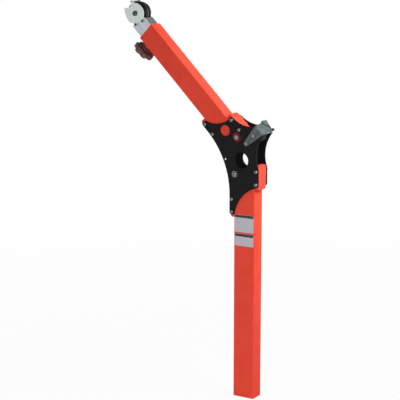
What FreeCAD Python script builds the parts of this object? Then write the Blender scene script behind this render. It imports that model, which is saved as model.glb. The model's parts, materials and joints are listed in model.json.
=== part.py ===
import FreeCAD, Part
import math
import os

import Sketcher

# Davit crane: a rectangular mast, a rectangular arm at an angle, and two bolted knuckle plates between them.
# +X is forward (the reach), +Y is left, +Z is up. The origin is the centre of the mast's foot. Millimetres.

Vector = FreeCAD.Vector
doc = FreeCAD.newDocument("DavitCrane")
sheet = doc.addObject("Spreadsheet::Sheet", "Sizes")
nodes = {}


class Size:
    """A number together with its formula over the sheet's cells."""

    def __init__(self, number, formula):
        self.number = number
        self.formula = formula

    def __add__(self, other):
        other = as_size(other)
        return Size(self.number + other.number, f"({self.formula} + {other.formula})")

    def __sub__(self, other):
        other = as_size(other)
        return Size(self.number - other.number, f"({self.formula} - {other.formula})")

    def __mul__(self, other):
        other = as_size(other)
        return Size(self.number * other.number, f"({self.formula} * {other.formula})")

    def __truediv__(self, other):
        other = as_size(other)
        return Size(self.number / other.number, f"({self.formula} / {other.formula})")

    def __neg__(self):
        return Size(-self.number, f"(0 - {self.formula})")


def as_size(thing):
    """A plain number becomes a constant formula."""
    if isinstance(thing, Size):
        return thing
    return Size(float(thing), f"({float(thing)!r})")


def size(word, number, note):
    """Write one driving dimension to the sheet and hand it back."""
    size.row += 1
    sheet.set(f"A{size.row}", note)
    sheet.set(f"B{size.row}", str(number))
    sheet.setAlias(f"B{size.row}", word)
    return Size(float(number), f"Sizes.{word}")


size.row = 0


def sine(angle):
    return Size(math.sin(math.radians(angle.number)), f"sin({angle.formula})")


def cosine(angle):
    return Size(math.cos(math.radians(angle.number)), f"cos({angle.formula})")


def tangent(angle):
    return Size(math.tan(math.radians(angle.number)), f"tan({angle.formula})")


# Mast and arm tubes
mast_length = size("mast_length", 874, "mast tube from foot to top end")
mast_depth = size("mast_depth", 90, "mast tube, front to back")
tube_width = size("tube_width", 60, "both tubes, side to side")
tube_wall = size("tube_wall", 5, "wall of both tubes")
tube_corner = size("tube_corner", 4, "outer corner radius of both tubes")
arm_angle = size("arm_angle", 45, "arm above the horizontal, degrees")
arm_height = size("arm_height", 80, "arm tube, across its length")
knuckle_rise = size("knuckle_rise", 91.5, "crossing of the two tube axes above the mast's top")
arm_start = size("arm_start", 44, "crossing to the arm's rear end")
arm_reach = size("arm_reach", 632, "crossing to the arm's tip")
plug_height = size("plug_height", 25, "foot plug in the mast")
plug_clearance = size("plug_clearance", 0.2, "foot plug to the mast's inner wall")

# Knuckle plates and spacer bars
plate_thickness = size("plate_thickness", 6, "knuckle plate")
plate_margin = size("plate_margin", 10, "bolt centre to the plate's edge")
plate_corner = size("plate_corner", 7, "rounding of the plate's tips")
bar_length = size("bar_length", 95, "spacer bar along its tube")
bar_pitch = size("bar_pitch", 49, "between a bar's two bolts")
bar_chamfer = size("bar_chamfer", 9, "cut corners of a bar")
mast_bar = size("mast_bar", 15, "thickness of the bars on the mast")
arm_bar = size("arm_bar", 20, "thickness of the bars on the arm")
rear_bar_rise = size("rear_bar_rise", 4, "middle of the rear bar above the mast's top")
front_bar_drop = size("front_bar_drop", 110, "middle of the front bar below the mast's top")
upper_bar_along = size("upper_bar_along", 105, "crossing to the middle of the arm's upper bar")
lower_bar_along = size("lower_bar_along", 170, "crossing to the middle of the arm's lower bar")
front_hollow = size("front_hollow", 340, "radius of the plate's front edge")
nose_hollow = size("nose_hollow", 99, "radius of the edge between the arm's bars")
crown_hollow = size("crown_hollow", 117, "radius of the edge above the horn")
back_hollow = size("back_hollow", 135, "radius of the edge below the horn")
heel_hollow = size("heel_hollow", 136, "radius of the edge between the mast's bars")
horn_rise = size("horn_rise", 114, "end of the horn above the arm's axis")
horn_back = size("horn_back", 24.5, "horn behind the guard's pivot")
horn_turn = size("horn_turn", 16, "front of the horn's end about the guard's pivot, degrees")
window_along = size("window_along", 119.5, "crossing to the round window")
window_bore = size("window_bore", 43, "round window over the arm")
sight_forward = size("sight_forward", 13, "see-through hole ahead of the mast's axis")
sight_rise = size("sight_rise", 67, "see-through hole above the mast's top")
sight_bore = size("sight_bore", 62, "see-through hole")
lash_ahead = size("lash_ahead", 37, "small hole ahead of the mast's front")
lash_bore = size("lash_bore", 8, "small hole")

# Plate bolts, nuts and washers
bolt_thick = size("bolt_thick", 8, "plate bolt and guard pivot")
bolt_clearance = size("bolt_clearance", 0.2, "bolt to its hole, all round")
bolt_head = size("bolt_head", 14, "round head of a plate bolt")
bolt_head_rise = size("bolt_head_rise", 4.4, "height of that head")
bolt_socket = size("bolt_socket", 5, "hex socket across flats")
socket_depth = size("socket_depth", 2.5, "depth of the hex socket")
nut_across = size("nut_across", 13, "nut of a plate bolt across flats")
nut_rise = size("nut_rise", 6.5, "height of that nut")
washer_wide = size("washer_wide", 16, "washer of a plate bolt")
washer_thick = size("washer_thick", 1.6, "thickness of every washer")
thread_tip = size("thread_tip", 2, "bolt past its nut")
thread_clearance = size("thread_clearance", 0.1, "bolt to its nut, all round")

# Stop bolt above the mast and cross bolt of the arm
stop_inset = size("stop_inset", 5.5, "mast's front back to the stop bolt")
stop_gap = size("stop_gap", 0.5, "mast's top to the stop spacer")
stop_spacer = size("stop_spacer", 25, "outside of the stop spacer")
stop_thick = size("stop_thick", 12, "stop bolt, and both sheave axles")
stop_head = size("stop_head", 20, "round head of the stop bolt")
stop_head_rise = size("stop_head_rise", 6.6, "height of that head")
stop_socket = size("stop_socket", 8, "its hex socket across flats")
stop_washer = size("stop_washer", 25, "washer of the stop bolt and of the head axle")
axle_across = size("axle_across", 19, "hex of the stop bolt's nut, the head axle and its nut")
axle_hex_rise = size("axle_hex_rise", 8, "height of both nuts")
pin_along = size("pin_along", 68, "crossing to the arm's cross bolt")
pin_rise = size("pin_rise", 20, "cross bolt above the arm's axis")
pin_window = size("pin_window", 36, "hole in the plate round the cross bolt")
pin_thick = size("pin_thick", 10, "cross bolt")
pin_head = size("pin_head", 18, "head and nut of the cross bolt")
pin_head_rise = size("pin_head_rise", 5, "height of that head and nut")
pin_sleeve = size("pin_sleeve", 16, "sleeve on the cross bolt")

# Sheaves, bushes and axles
sheave_rim = size("sheave_rim", 44, "outer radius of a head sheave")
knuckle_rim = size("knuckle_rim", 26, "outer radius of a knuckle sheave")
sheave_width = size("sheave_width", 13.5, "every sheave, side to side")
groove_depth = size("groove_depth", 7, "rope groove")
groove_width = size("groove_width", 9.5, "rope groove at the rim")
groove_floor = size("groove_floor", 3, "rope groove at its bottom")
web_recess = size("web_recess", 2.5, "hollow side of a head sheave")
rim_band = size("rim_band", 11, "rim of a head sheave, groove included")
hub_band = size("hub_band", 6, "hub of a head sheave round its bush")
bush_thick = size("bush_thick", 18, "outside of a bush")
bush_gap = size("bush_gap", 0.15, "side play of a bush at each end")
running_fit = size("running_fit", 0.05, "radial play of a turning piece on its axle")
divider_thick = size("divider_thick", 3, "disc between two sheaves")
divider_rim = size("divider_rim", 1, "how far that disc stands past the sheaves")
seat_clearance = size("seat_clearance", 0.1, "radial play of a fixed piece on its axle")

# Knuckle sheaves and rope guard
knuckle_along = size("knuckle_along", 22, "crossing to the guard's pivot and the knuckle axle")
knuckle_axle_rise = size("knuckle_axle_rise", 84, "knuckle axle above the arm's axis")
axle_tip = size("axle_tip", 2, "knuckle axle past each plate")
clip_wide = size("clip_wide", 18, "axle clip")
clip_thick = size("clip_thick", 1.2, "thickness of an axle clip")
clip_mouth = size("clip_mouth", 7, "open side of an axle clip")
pivot_rise = size("pivot_rise", 39, "guard's pivot above the arm's axis")
pivot_sleeve = size("pivot_sleeve", 16, "sleeve on the pivot bolt")
guard_thick = size("guard_thick", 3, "guard sheet")
guard_width = size("guard_width", 45, "guard's web along the arm")
guard_boss = size("guard_boss", 10, "radius of the guard's leg round its pivot")
guard_bend = size("guard_bend", 5, "outer bend radius of the guard")
guard_stop_gap = size("guard_stop_gap", 0.3, "web to the horn it rests on")
guard_collar = size("guard_collar", 2.2, "collar between the plate and the guard's leg")
guard_play = size("guard_play", 0.3, "side play of each leg")
tab_ahead = size("tab_ahead", 6.5, "front end of the lifting tab's fold ahead of the web")
tab_side = size("tab_side", 13.6, "that end to the right of the guard's middle")
tab_fold = size("tab_fold", 50, "length of the fold")
tab_turn = size("tab_turn", 46.5, "fold away from the arm's direction, degrees")
tab_bend = size("tab_bend", 18, "how far the tab is bent up, degrees")
tab_nose_along = size("tab_nose_along", 1, "fold's front end to the tab's nose, along the fold")
tab_nose_out = size("tab_nose_out", 10.8, "fold to the tab's nose")
tab_corner_along = size("tab_corner_along", 22, "fold's front end to the tab's corner, along the fold")
tab_corner_out = size("tab_corner_out", 26.6, "fold to the tab's corner")
ledge = size("ledge", 10.5, "ledge beside the web, behind the rear end of the fold")
button_wide = size("button_wide", 11, "stop button on the ledge")
button_rise = size("button_rise", 6, "height of the stop button")
button_back = size("button_back", 8, "rear end of the fold back to the stop button")
button_in = size("button_in", 2.4, "ledge's right edge in to the stop button")
detent_head = size("detent_head", 12, "head of a guard detent")
detent_rise = size("detent_rise", 3, "height of that head")
detent_nose = size("detent_nose", 6, "nose of a detent")

# Head at the end of the arm
slide_clearance = size("slide_clearance", 0.3, "head tube to the arm's inner wall")
head_wall = size("head_wall", 4, "wall of the head tube")
head_corner = size("head_corner", 2, "outer corner radius of the head tube")
head_overlap = size("head_overlap", 250, "head tube inside the arm")
head_front = size("head_front", 56, "head tube past the arm's tip")
head_notch = size("head_notch", 18, "top wall cut back for the sheaves")
axle_reach = size("axle_reach", 82, "arm's tip to the head axle")
axle_rise = size("axle_rise", 12, "head axle above the arm's axis")
axle_head_rise = size("axle_head_rise", 5, "height of the head axle's hex")
bush_inset = size("bush_inset", 4, "head tube's inner wall to the bushes' ends")
cheek_thick = size("cheek_thick", 3, "head cheek, outside the head tube")
cheek_radius = size("cheek_radius", 40, "cheek round the axle")
cheek_lug = size("cheek_lug", 7.5, "radius of the cheek round each screw")
heel_back = size("heel_back", 14, "axle back to the cheek's heel")
heel_drop = size("heel_drop", 41.5, "axle down to the cheek's heel")
sole_back = size("sole_back", 2, "axle back to the cheek's lowest point")
sole_drop = size("sole_drop", 44.5, "axle down to the cheek's lowest point")
chin_forward = size("chin_forward", 22, "axle to the cheek's chin")
chin_drop = size("chin_drop", 40.5, "axle down to the cheek's chin")
spur_forward = size("spur_forward", 49.5, "axle to the cheek's spur")
spur_drop = size("spur_drop", 24.5, "axle down to the cheek's spur")
brow_notch = size("brow_notch", 15, "radius of the notch above the spur")
brow_out = size("brow_out", 49.5, "axle to the middle of that notch")
ear_radius = size("ear_radius", 7, "cheek's ear for the keeper pin")
ear_out = size("ear_out", 45.5, "axle to the middle of the ear")
ear_angle = size("ear_angle", 24, "ear above the arm's direction, degrees")
keeper_gap = size("keeper_gap", 2, "keeper pin to the sheaves' rims")
keeper_thick = size("keeper_thick", 5, "keeper pin")
keeper_tip = size("keeper_tip", 2, "keeper pin past each cheek")
screw_thick = size("screw_thick", 6, "cheek screw")
screw_head = size("screw_head", 11, "head of a cheek screw")
screw_rise = size("screw_rise", 3, "height of that head")
screw_back = size("screw_back", 44, "axle back to the upper cheek screw")
screw_step = size("screw_step", 12, "lower cheek screw ahead of the upper one")
screw_high = size("screw_high", 15, "upper cheek screw above the arm's axis")
screw_low = size("screw_low", 18, "lower cheek screw below the arm's axis")

# Clamping knob under the arm
lock_setback = size("lock_setback", 38, "arm's tip back to the clamping screw")
boss_wide = size("boss_wide", 30, "threaded boss")
boss_rise = size("boss_rise", 12, "threaded boss below the arm")
boss_bore = size("boss_bore", 16, "bore of the boss")
stud_thick = size("stud_thick", 15.4, "clamping stud")
pad_wide = size("pad_wide", 14, "thrust pad")
pad_thick = size("pad_thick", 2.5, "thickness of the thrust pad")
pad_gap = size("pad_gap", 0.3, "thrust pad to the head tube")
knob_gap = size("knob_gap", 4, "boss to the knob's hub")
knob_hub = size("knob_hub", 34, "hub of the knob")
knob_neck = size("knob_neck", 10.5, "hub above the star")
knob_rise = size("knob_rise", 18, "thickness of the star")
knob_radius = size("knob_radius", 44, "star out to its lobes")
knob_round = size("knob_round", 4, "rounded rim of the star")
scallop = size("scallop", 11.5, "radius of the hollow between two lobes")
scallop_out = size("scallop_out", 46.5, "centre of that hollow from the knob's axis")
lobes = size("lobes", 7, "number of lobes")
stud_depth = size("stud_depth", 14, "stud inside the knob's star")

# Label plates
label_margin = size("label_margin", 4, "mast's edge to both label plates")
label_thick = size("label_thick", 0.6, "label plate")
upper_label = size("upper_label", 68, "height of the upper label plate")
lower_label = size("lower_label", 48, "height of the lower label plate")
label_drop = size("label_drop", 143.5, "mast's top down to the upper label plate")
label_gap = size("label_gap", 6, "between the label plates")

doc.recompute()

# Lengths that several pieces share
HEX_CORNER = 1 / math.sqrt(3)
half_width = tube_width / 2
plate_face = half_width + plate_thickness
knuckle_height = mast_length + knuckle_rise
along_cos = cosine(arm_angle)
along_sin = sine(arm_angle)
arm_top = arm_height / 2
mast_bolt_line = mast_depth / 2 + mast_bar / 2
arm_bolt_line = arm_top + arm_bar / 2
label_width = mast_depth - label_margin * 2
stop_forward = mast_depth / 2 - stop_inset
lash_forward = mast_depth / 2 + lash_ahead
stop_height = mast_length + stop_gap + stop_spacer / 2
inner_height = arm_height - tube_wall * 2
inner_width = tube_width - tube_wall * 2
head_height = inner_height - slide_clearance * 2
head_width = inner_width - slide_clearance * 2
cheek_inside = head_width / 2
cheek_face = cheek_inside + cheek_thick
bush_face = cheek_inside - head_wall - bush_inset
axle_along = arm_reach + axle_reach
lock_along = arm_reach - lock_setback
bush_length = bush_face - divider_thick / 2 - bush_gap * 2
sheave_side = divider_thick / 2 + bush_gap + bush_length / 2
leg_inside = plate_face + guard_collar + guard_play
leg_face = leg_inside + guard_thick
bolt_bore = bolt_thick + bolt_clearance * 2
bolt_nut_bore = bolt_thick + thread_clearance * 2
axle_bore = stop_thick + bolt_clearance * 2
axle_nut_bore = stop_thick + thread_clearance * 2
axle_seat = stop_thick + seat_clearance * 2
pin_bore = pin_thick + bolt_clearance * 2
web_inside = horn_rise + guard_stop_gap
web_face = web_inside + guard_thick

ACROSS = FreeCAD.Placement(Vector(), FreeCAD.Rotation(Vector(1, 0, 0), -90))


def bind(thing, **sizes):
    """Tie properties of a document object to formulas over the sheet."""
    for name, amount in sizes.items():
        thing.setExpression(name, as_size(amount).formula)


def seat(thing, x, y, z):
    """Tie an object's place to formulas."""
    for axis, amount in zip("xyz", (x, y, z)):
        thing.setExpression(f"Placement.Base.{axis}", as_size(amount).formula)


def on_arm(along, up):
    """World X and Z of a point given along and above the arm's axis."""
    x = along * along_cos - up * along_sin
    z = knuckle_height + along * along_sin + up * along_cos
    return x, z


def in_arm_frame(thing, along=0, up=0, side=0):
    """Turn an object so that its X runs along the arm, with its origin at a point of the arm."""
    x, z = on_arm(as_size(along), as_size(up))
    thing.Placement = FreeCAD.Placement(Vector(), FreeCAD.Rotation(Vector(0, -1, 0), arm_angle.number))
    thing.setExpression("Placement.Rotation.Angle", arm_angle.formula)
    seat(thing, x, side, z)
    return thing


def finish(label, thing):
    """Name a finished sub-part and keep it for export."""
    thing.Label = label
    nodes[label] = thing
    return thing


def rod(radius, start, length, x, z):
    """Round bar along +Y."""
    part = doc.addObject("Part::Cylinder", "Rod")
    part.Placement = ACROSS
    bind(part, Radius=radius, Height=length)
    seat(part, x, start, z)
    return part


def post(radius, bottom, height, x=0, y=0):
    """Round bar along +Z."""
    part = doc.addObject("Part::Cylinder", "Post")
    bind(part, Radius=radius, Height=height)
    seat(part, x, y, bottom)
    return part


def hexagon(across, start, length, x, z):
    """Six-sided bar along +Y."""
    part = doc.addObject("Part::Prism", "Hexagon")
    part.Polygon = 6
    part.Placement = ACROSS
    bind(part, Circumradius=across * HEX_CORNER, Height=length)
    seat(part, x, start, z)
    return part


def block(length, width, height, x, y, z):
    """Box from its lowest corner."""
    part = doc.addObject("Part::Box", "Block")
    bind(part, Length=length, Width=width, Height=height)
    seat(part, x, y, z)
    return part


def joined(parts, name="Joined"):
    """One shape of several, whether or not they touch."""
    if len(parts) == 1:
        return parts[0]
    part = doc.addObject("Part::MultiFuse", name)
    part.Shapes = parts
    return part


def less(base, tools, name="Less"):
    """A shape with others cut away."""
    part = doc.addObject("Part::Cut", name)
    part.Base = base
    part.Tool = joined(tools)
    return part


def tube_across(outer, bore, start, length, x, z):
    """Ring or sleeve along +Y, sizes as diameters."""
    return less(rod(outer / 2, start, length, x, z), [rod(bore / 2, start, length, x, z)])


def nut_across_y(across, bore, start, rise, x, z):
    """Hex nut along +Y."""
    return less(hexagon(across, start, rise, x, z), [rod(bore / 2, start, rise, x, z)])


def body(name):
    return doc.addObject("PartDesign::Body", name)


def origin(owner, role):
    """One of a body's own planes or axes."""
    return next(part for part in owner.Origin.OriginFeatures if part.Role == role)


def sketch(owner, role):
    drawing = owner.newObject("Sketcher::SketchObject", "Sketch")
    drawing.AttachmentSupport = [(origin(owner, role), "")]
    drawing.MapMode = "FlatFace"
    return drawing


def hold(drawing, kind, ends, amount):
    """Add one dimension to a sketch and tie it to a formula."""
    index = drawing.addConstraint(Sketcher.Constraint(kind, *ends, amount.number))
    drawing.setExpression(f"Constraints[{index}]", amount.formula)


def pin_down(drawing, edge, end, point):
    """Fix one point of a sketch at a pair of formulas, or on an axis where a plain 0 is given."""
    for kind, axis, amount in zip(("DistanceX", "DistanceY"), (-2, -1), point):
        if isinstance(amount, Size):
            hold(drawing, kind, (-1, 1, edge, end), amount)
        else:
            drawing.addConstraint(Sketcher.Constraint("PointOnObject", edge, end, axis))


def flat(point):
    return Vector(as_size(point[0]).number, as_size(point[1]).number, 0)


def hollow_arc(start, end, radius):
    """Arc that curves inwards between two points of an outline drawn anticlockwise."""
    chord = end - start
    half = chord.Length / 2
    outward = Vector(chord.y, -chord.x, 0).normalize()
    centre = (start + end) / 2 + outward * math.sqrt(radius ** 2 - half ** 2)
    first = math.atan2(end.y - centre.y, end.x - centre.x)
    last = math.atan2(start.y - centre.y, start.x - centre.x)
    if last < first:
        last += 2 * math.pi
    return Part.ArcOfCircle(Part.Circle(centre, Vector(0, 0, 1), radius), first, last)


def outline(owner, role, points, hollows=None):
    """Closed outline, anticlockwise. hollows gives the radius of each edge that curves inwards."""
    hollows = hollows or {}
    drawing = sketch(owner, role)
    count = len(points)
    ends = []
    for edge in range(count):
        start, end = flat(points[edge]), flat(points[(edge + 1) % count])
        if edge in hollows:
            drawing.addGeometry(hollow_arc(start, end, hollows[edge].number))
            ends.append((2, 1))
        else:
            drawing.addGeometry(Part.LineSegment(start, end))
            ends.append((1, 2))
    for edge in range(count):
        after = (edge + 1) % count
        drawing.addConstraint(Sketcher.Constraint("Coincident", edge, ends[edge][1], after, ends[after][0]))
        pin_down(drawing, edge, ends[edge][0], points[edge])
    for edge, radius in hollows.items():
        hold(drawing, "Radius", (edge,), radius)
    return drawing


def circles(owner, role, holes):
    """Circles of given diameters, each a (point, diameter) pair."""
    drawing = sketch(owner, role)
    for edge, (point, wide) in enumerate(holes):
        drawing.addGeometry(Part.Circle(flat(point), Vector(0, 0, 1), wide.number / 2))
        pin_down(drawing, edge, 3, point)
        hold(drawing, "Diameter", (edge,), wide)
    return drawing


def rectangle(left, bottom, right, top):
    return [(left, bottom), (right, bottom), (right, top), (left, top)]


def pad(owner, drawing, length):
    feature = owner.newObject("PartDesign::Pad", "Pad")
    feature.Profile = drawing
    bind(feature, Length=length)
    doc.recompute()
    return feature


def pocket(owner, drawing, both_ways=True):
    """Cut right through, to both sides of the sketch or only behind it. It must remove something."""
    before = owner.Shape.Volume
    feature = owner.newObject("PartDesign::Pocket", "Pocket")
    feature.Profile = drawing
    feature.Type = "ThroughAll"
    if both_ways:
        feature.SideType = "Symmetric"
    doc.recompute()
    if not feature.Shape.Volume < before:
        raise RuntimeError(f"{owner.Name}: a pocket cut nothing")
    return feature


def round_edges(owner, feature, names, radius):
    fillet = owner.newObject("PartDesign::Fillet", "Fillet")
    fillet.Base = (feature, names)
    bind(fillet, Radius=radius)
    doc.recompute()
    return fillet


def edges_along(shape, direction):
    """Names of a shape's straight edges that run one way."""
    found = []
    for number, edge in enumerate(shape.Edges, 1):
        straight = isinstance(edge.Curve, Part.Line)
        if straight and abs(edge.tangentAt(edge.FirstParameter).dot(direction)) > 0.999:
            found.append(f"Edge{number}")
    return found


def hollow_tube(label, role, direction, wide, high, wall, corner, length):
    """Rectangular tube with rounded outer corners, along the normal of one of its body's planes."""
    owner = body(label)
    outer = outline(owner, role, rectangle(-wide / 2, -high / 2, wide / 2, high / 2))
    feature = pad(owner, outer, length)
    round_edges(owner, feature, edges_along(feature.Shape, direction), corner)
    inside_wide = wide / 2 - wall
    inside_high = high / 2 - wall
    pocket(owner, outline(owner, role, rectangle(-inside_wide, -inside_high, inside_wide, inside_high)))
    return owner


def plate_outline():
    """The knuckle plate in world X and Z, anticlockwise seen from the right, and its hollow edges."""
    edge = plate_margin
    lower_tip = lower_bar_along + bar_pitch / 2 + edge
    upper_tip = upper_bar_along + bar_pitch / 2 + edge
    front_edge = mast_bolt_line + edge
    under_arm = arm_bolt_line + edge
    front_foot = mast_length - front_bar_drop - bar_pitch / 2 - edge
    rear_middle = mast_length + rear_bar_rise
    # the front half of the horn's end keeps inside the swing of the guard's web
    horn = horn_rise - pivot_rise
    # the front edge runs up the mast, bends along one arc and runs on below the arm
    meeting = (front_edge - under_arm * along_sin) / along_cos
    run = front_hollow * tangent((as_size(90) - arm_angle) / 2)
    bend_low = (front_edge, knuckle_height + meeting * along_sin - under_arm * along_cos - run)
    bend_high = on_arm(meeting + run, -under_arm)
    points = [
        (front_edge, front_foot),
        bend_low,
        bend_high,
        on_arm(lower_tip, -under_arm),
        on_arm(lower_tip, edge - arm_bolt_line),
        on_arm(upper_tip, arm_bolt_line - edge),
        on_arm(upper_tip, arm_bolt_line + edge),
        on_arm(knuckle_along + horn * sine(horn_turn), pivot_rise + horn * cosine(horn_turn)),
        on_arm(knuckle_along, horn_rise),
        on_arm(knuckle_along - horn_back, horn_rise),
        (-front_edge, rear_middle + bar_pitch / 2 + edge),
        (-front_edge, rear_middle - bar_pitch / 2 - edge),
        (mast_bolt_line - edge, front_foot),
    ]
    hollows = {1: front_hollow, 4: nose_hollow, 6: crown_hollow, 9: back_hollow, 11: heel_hollow}
    return points, hollows


def plate_bolt_spots():
    """World X and Z of the bolts through the bars: two in each bar."""
    spots = []
    for step in (bar_pitch / 2, -bar_pitch / 2):
        spots.append(on_arm(upper_bar_along + step, arm_bolt_line))
        spots.append(on_arm(lower_bar_along + step, -arm_bolt_line))
        spots.append((-mast_bolt_line, mast_length + rear_bar_rise + step))
        spots.append((mast_bolt_line, mast_length - front_bar_drop + step))
    return spots


bolt_spots = plate_bolt_spots()
stop_spot = (stop_forward, stop_height)
pin_spot = on_arm(pin_along, pin_rise)
pivot_spot = on_arm(knuckle_along, pivot_rise)
knuckle_spot = on_arm(knuckle_along, knuckle_axle_rise)


def mast():
    owner = hollow_tube("mast_tube", "XY_Plane", Vector(0, 0, 1), mast_depth, tube_width, tube_wall,
                        tube_corner, mast_length)
    finish("mast_tube", owner)
    deep = mast_depth - (tube_wall + plug_clearance) * 2
    wide = inner_width - plug_clearance * 2
    finish("mast_foot_plug", block(deep, wide, plug_height, -deep / 2, -wide / 2, 0))


def label_plates():
    """Two bare plates on the left face of the mast."""
    upper_foot = mast_length - label_drop - upper_label
    lower_foot = upper_foot - label_gap - lower_label
    rows = (("label_plate_upper", upper_foot, upper_label), ("label_plate_lower", lower_foot, lower_label))
    for label, foot, height in rows:
        finish(label, block(label_width, label_thick, height, -label_width / 2, half_width, foot))


def arm():
    length = arm_reach - arm_start
    owner = hollow_tube("arm_tube", "YZ_Plane", Vector(1, 0, 0), tube_width, arm_height, tube_wall,
                        tube_corner, length)
    in_arm_frame(owner, arm_start)
    pocket(owner, circles(owner, "XZ_Plane", [((pin_along - arm_start, pin_rise), pin_bore)]))
    lock_hole = ((lock_along - arm_start, 0), boss_bore)
    pocket(owner, circles(owner, "XY_Plane", [lock_hole]), both_ways=False)
    finish("arm_tube", owner)
    # cross bolt with its sleeve inside the tube and its nut on the far side
    shank = rod(pin_thick / 2, -half_width - pin_head_rise, tube_width + pin_head_rise, 0, 0)
    head = rod(pin_head / 2, half_width, pin_head_rise, 0, 0)
    in_arm_frame(finish("arm_cross_bolt", joined([shank, head])), pin_along, pin_rise)
    nut_bore = pin_thick + thread_clearance * 2
    nut = nut_across_y(pin_head, nut_bore, -half_width - pin_head_rise, pin_head_rise, 0, 0)
    in_arm_frame(finish("arm_cross_nut", nut), pin_along, pin_rise)
    sleeve = tube_across(pin_sleeve, pin_bore, -inner_width / 2, inner_width, 0, 0)
    in_arm_frame(finish("arm_cross_sleeve", sleeve), pin_along, pin_rise)


def knuckle_plate(label, side):
    """One plate, padded towards -Y from the given side."""
    owner = body(label)
    points, hollows = plate_outline()
    feature = pad(owner, outline(owner, "XZ_Plane", points, hollows), plate_thickness)
    tips = [flat(points[index]) for index in (0, 3, 4, 5, 6, 7, 9, 10, 11, 12)]
    names = []
    for name in edges_along(feature.Shape, Vector(0, 1, 0)):
        corner = feature.Shape.getElement(name).Vertexes[0].Point
        if any(math.hypot(corner.x - tip.x, corner.z - tip.y) < 0.01 for tip in tips):
            names.append(name)
    round_edges(owner, feature, names, plate_corner)
    holes = [(spot, bolt_bore) for spot in bolt_spots]
    holes.append((pivot_spot, bolt_bore))
    holes.append((stop_spot, axle_bore))
    holes.append((knuckle_spot, axle_bore))
    holes.append((pin_spot, pin_window))
    holes.append((on_arm(window_along, as_size(0)), window_bore))
    holes.append(((sight_forward, mast_length + sight_rise), sight_bore))
    holes.append(((lash_forward, mast_length + sight_rise), lash_bore))
    pocket(owner, circles(owner, "XZ_Plane", holes))
    seat(owner, 0, side, 0)
    finish(label, owner)


def spacer_bar(label, role, thick):
    """Flat bar with cut corners, lengthwise along X in the XY plane or along Z in the YZ plane."""
    owner = body(label)
    half, cut = bar_length / 2, bar_chamfer
    if role == "XY_Plane":
        long, wide = half, half_width
        bores = [(step, 0) for step in (bar_pitch / 2, -bar_pitch / 2)]
    else:
        long, wide = half_width, half
        bores = [(0, step) for step in (bar_pitch / 2, -bar_pitch / 2)]
    points = [(-long + cut, -wide), (long - cut, -wide), (long, -wide + cut), (long, wide - cut),
              (long - cut, wide), (-long + cut, wide), (-long, wide - cut), (-long, -wide + cut)]
    pad(owner, outline(owner, role, points), thick)
    tools = []
    for along, up in bores:
        x, z = (along, thick / 2) if role == "XY_Plane" else (thick / 2, up)
        tools.append(rod(bolt_bore / 2, -half_width, tube_width, x, z))
    return finish(label, less(owner, tools))


def spacer_bars():
    in_arm_frame(spacer_bar("arm_upper_bar", "XY_Plane", arm_bar), upper_bar_along, arm_top)
    in_arm_frame(spacer_bar("arm_lower_bar", "XY_Plane", arm_bar), lower_bar_along, -arm_top - arm_bar)
    rear_middle = mast_length + rear_bar_rise
    front_middle = mast_length - front_bar_drop
    seat(spacer_bar("mast_rear_bar", "YZ_Plane", mast_bar), -mast_depth / 2 - mast_bar, 0, rear_middle)
    seat(spacer_bar("mast_front_bar", "YZ_Plane", mast_bar), mast_depth / 2, 0, front_middle)


def round_head_bolt(large, face, tail, x, z):
    """Bolt along Y: a domed head with a hex socket at +Y, its shank down to the tail."""
    thick, head, head_rise, socket = bolt_thick, bolt_head, bolt_head_rise, bolt_socket
    if large:
        thick, head, head_rise, socket = stop_thick, stop_head, stop_head_rise, stop_socket
    shank = rod(thick / 2, tail, face - tail, x, z)
    dome = doc.addObject("Part::Cone", "Dome")
    dome.Placement = ACROSS
    bind(dome, Radius1=head / 2, Radius2=head / 3, Height=head_rise)
    seat(dome, x, face, z)
    recess = hexagon(socket, face + head_rise - socket_depth, socket_depth, x, z)
    return less(joined([shank, dome]), [recess])


def plate_bolts():
    seat_face = -plate_face - washer_thick
    tail = seat_face - nut_rise - thread_tip
    bolts, nuts, washers = [], [], []
    for spot in bolt_spots:
        bolts.append(round_head_bolt(False, plate_face, tail, *spot))
        nuts.append(nut_across_y(nut_across, bolt_nut_bore, seat_face - nut_rise, nut_rise, *spot))
        washers.append(tube_across(washer_wide, bolt_bore, seat_face, washer_thick, *spot))
    finish("plate_bolts", joined(bolts))
    finish("plate_nuts", joined(nuts))
    finish("plate_washers", joined(washers))


def stop_bolt():
    """Large bolt with a spacer tube that the top of the mast stands under."""
    near_face = plate_face + washer_thick
    far_face = -plate_face - washer_thick
    tail = far_face - axle_hex_rise - thread_tip
    finish("stop_bolt", round_head_bolt(True, near_face, tail, *stop_spot))
    finish("stop_spacer", tube_across(stop_spacer, axle_bore, -half_width, tube_width, *stop_spot))
    nut = nut_across_y(axle_across, axle_nut_bore, far_face - axle_hex_rise, axle_hex_rise, *stop_spot)
    finish("stop_nut", nut)
    washers = []
    for start in (plate_face, far_face):
        washers.append(tube_across(stop_washer, axle_bore, start, washer_thick, *stop_spot))
    finish("stop_washers", joined(washers))


def sheave(label, rim, recessed):
    """Grooved wheel about its body's Y axis, drawn as a half section."""
    owner = body(label)
    half = sheave_width / 2
    bore = bush_thick / 2
    lip, floor = groove_width / 2, groove_floor / 2
    hub_edge, rim_edge = bore + hub_band, rim - rim_band
    right = [(bore, -half)]
    if recessed:
        right.append((hub_edge, -half))
        right.append((hub_edge + web_recess, web_recess - half))
        right.append((rim_edge - web_recess, web_recess - half))
        right.append((rim_edge, -half))
    right.append((rim, -half))
    right.append((rim, -lip))
    right.append((rim - groove_depth, -floor))
    left = [(reach, -level) for reach, level in reversed(right)]
    wheel = owner.newObject("PartDesign::Revolution", "Wheel")
    wheel.Profile = outline(owner, "XY_Plane", right + left)
    wheel.ReferenceAxis = (origin(owner, "Y_Axis"), [""])
    wheel.Angle = 360
    doc.recompute()
    return finish(label, owner)


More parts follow.
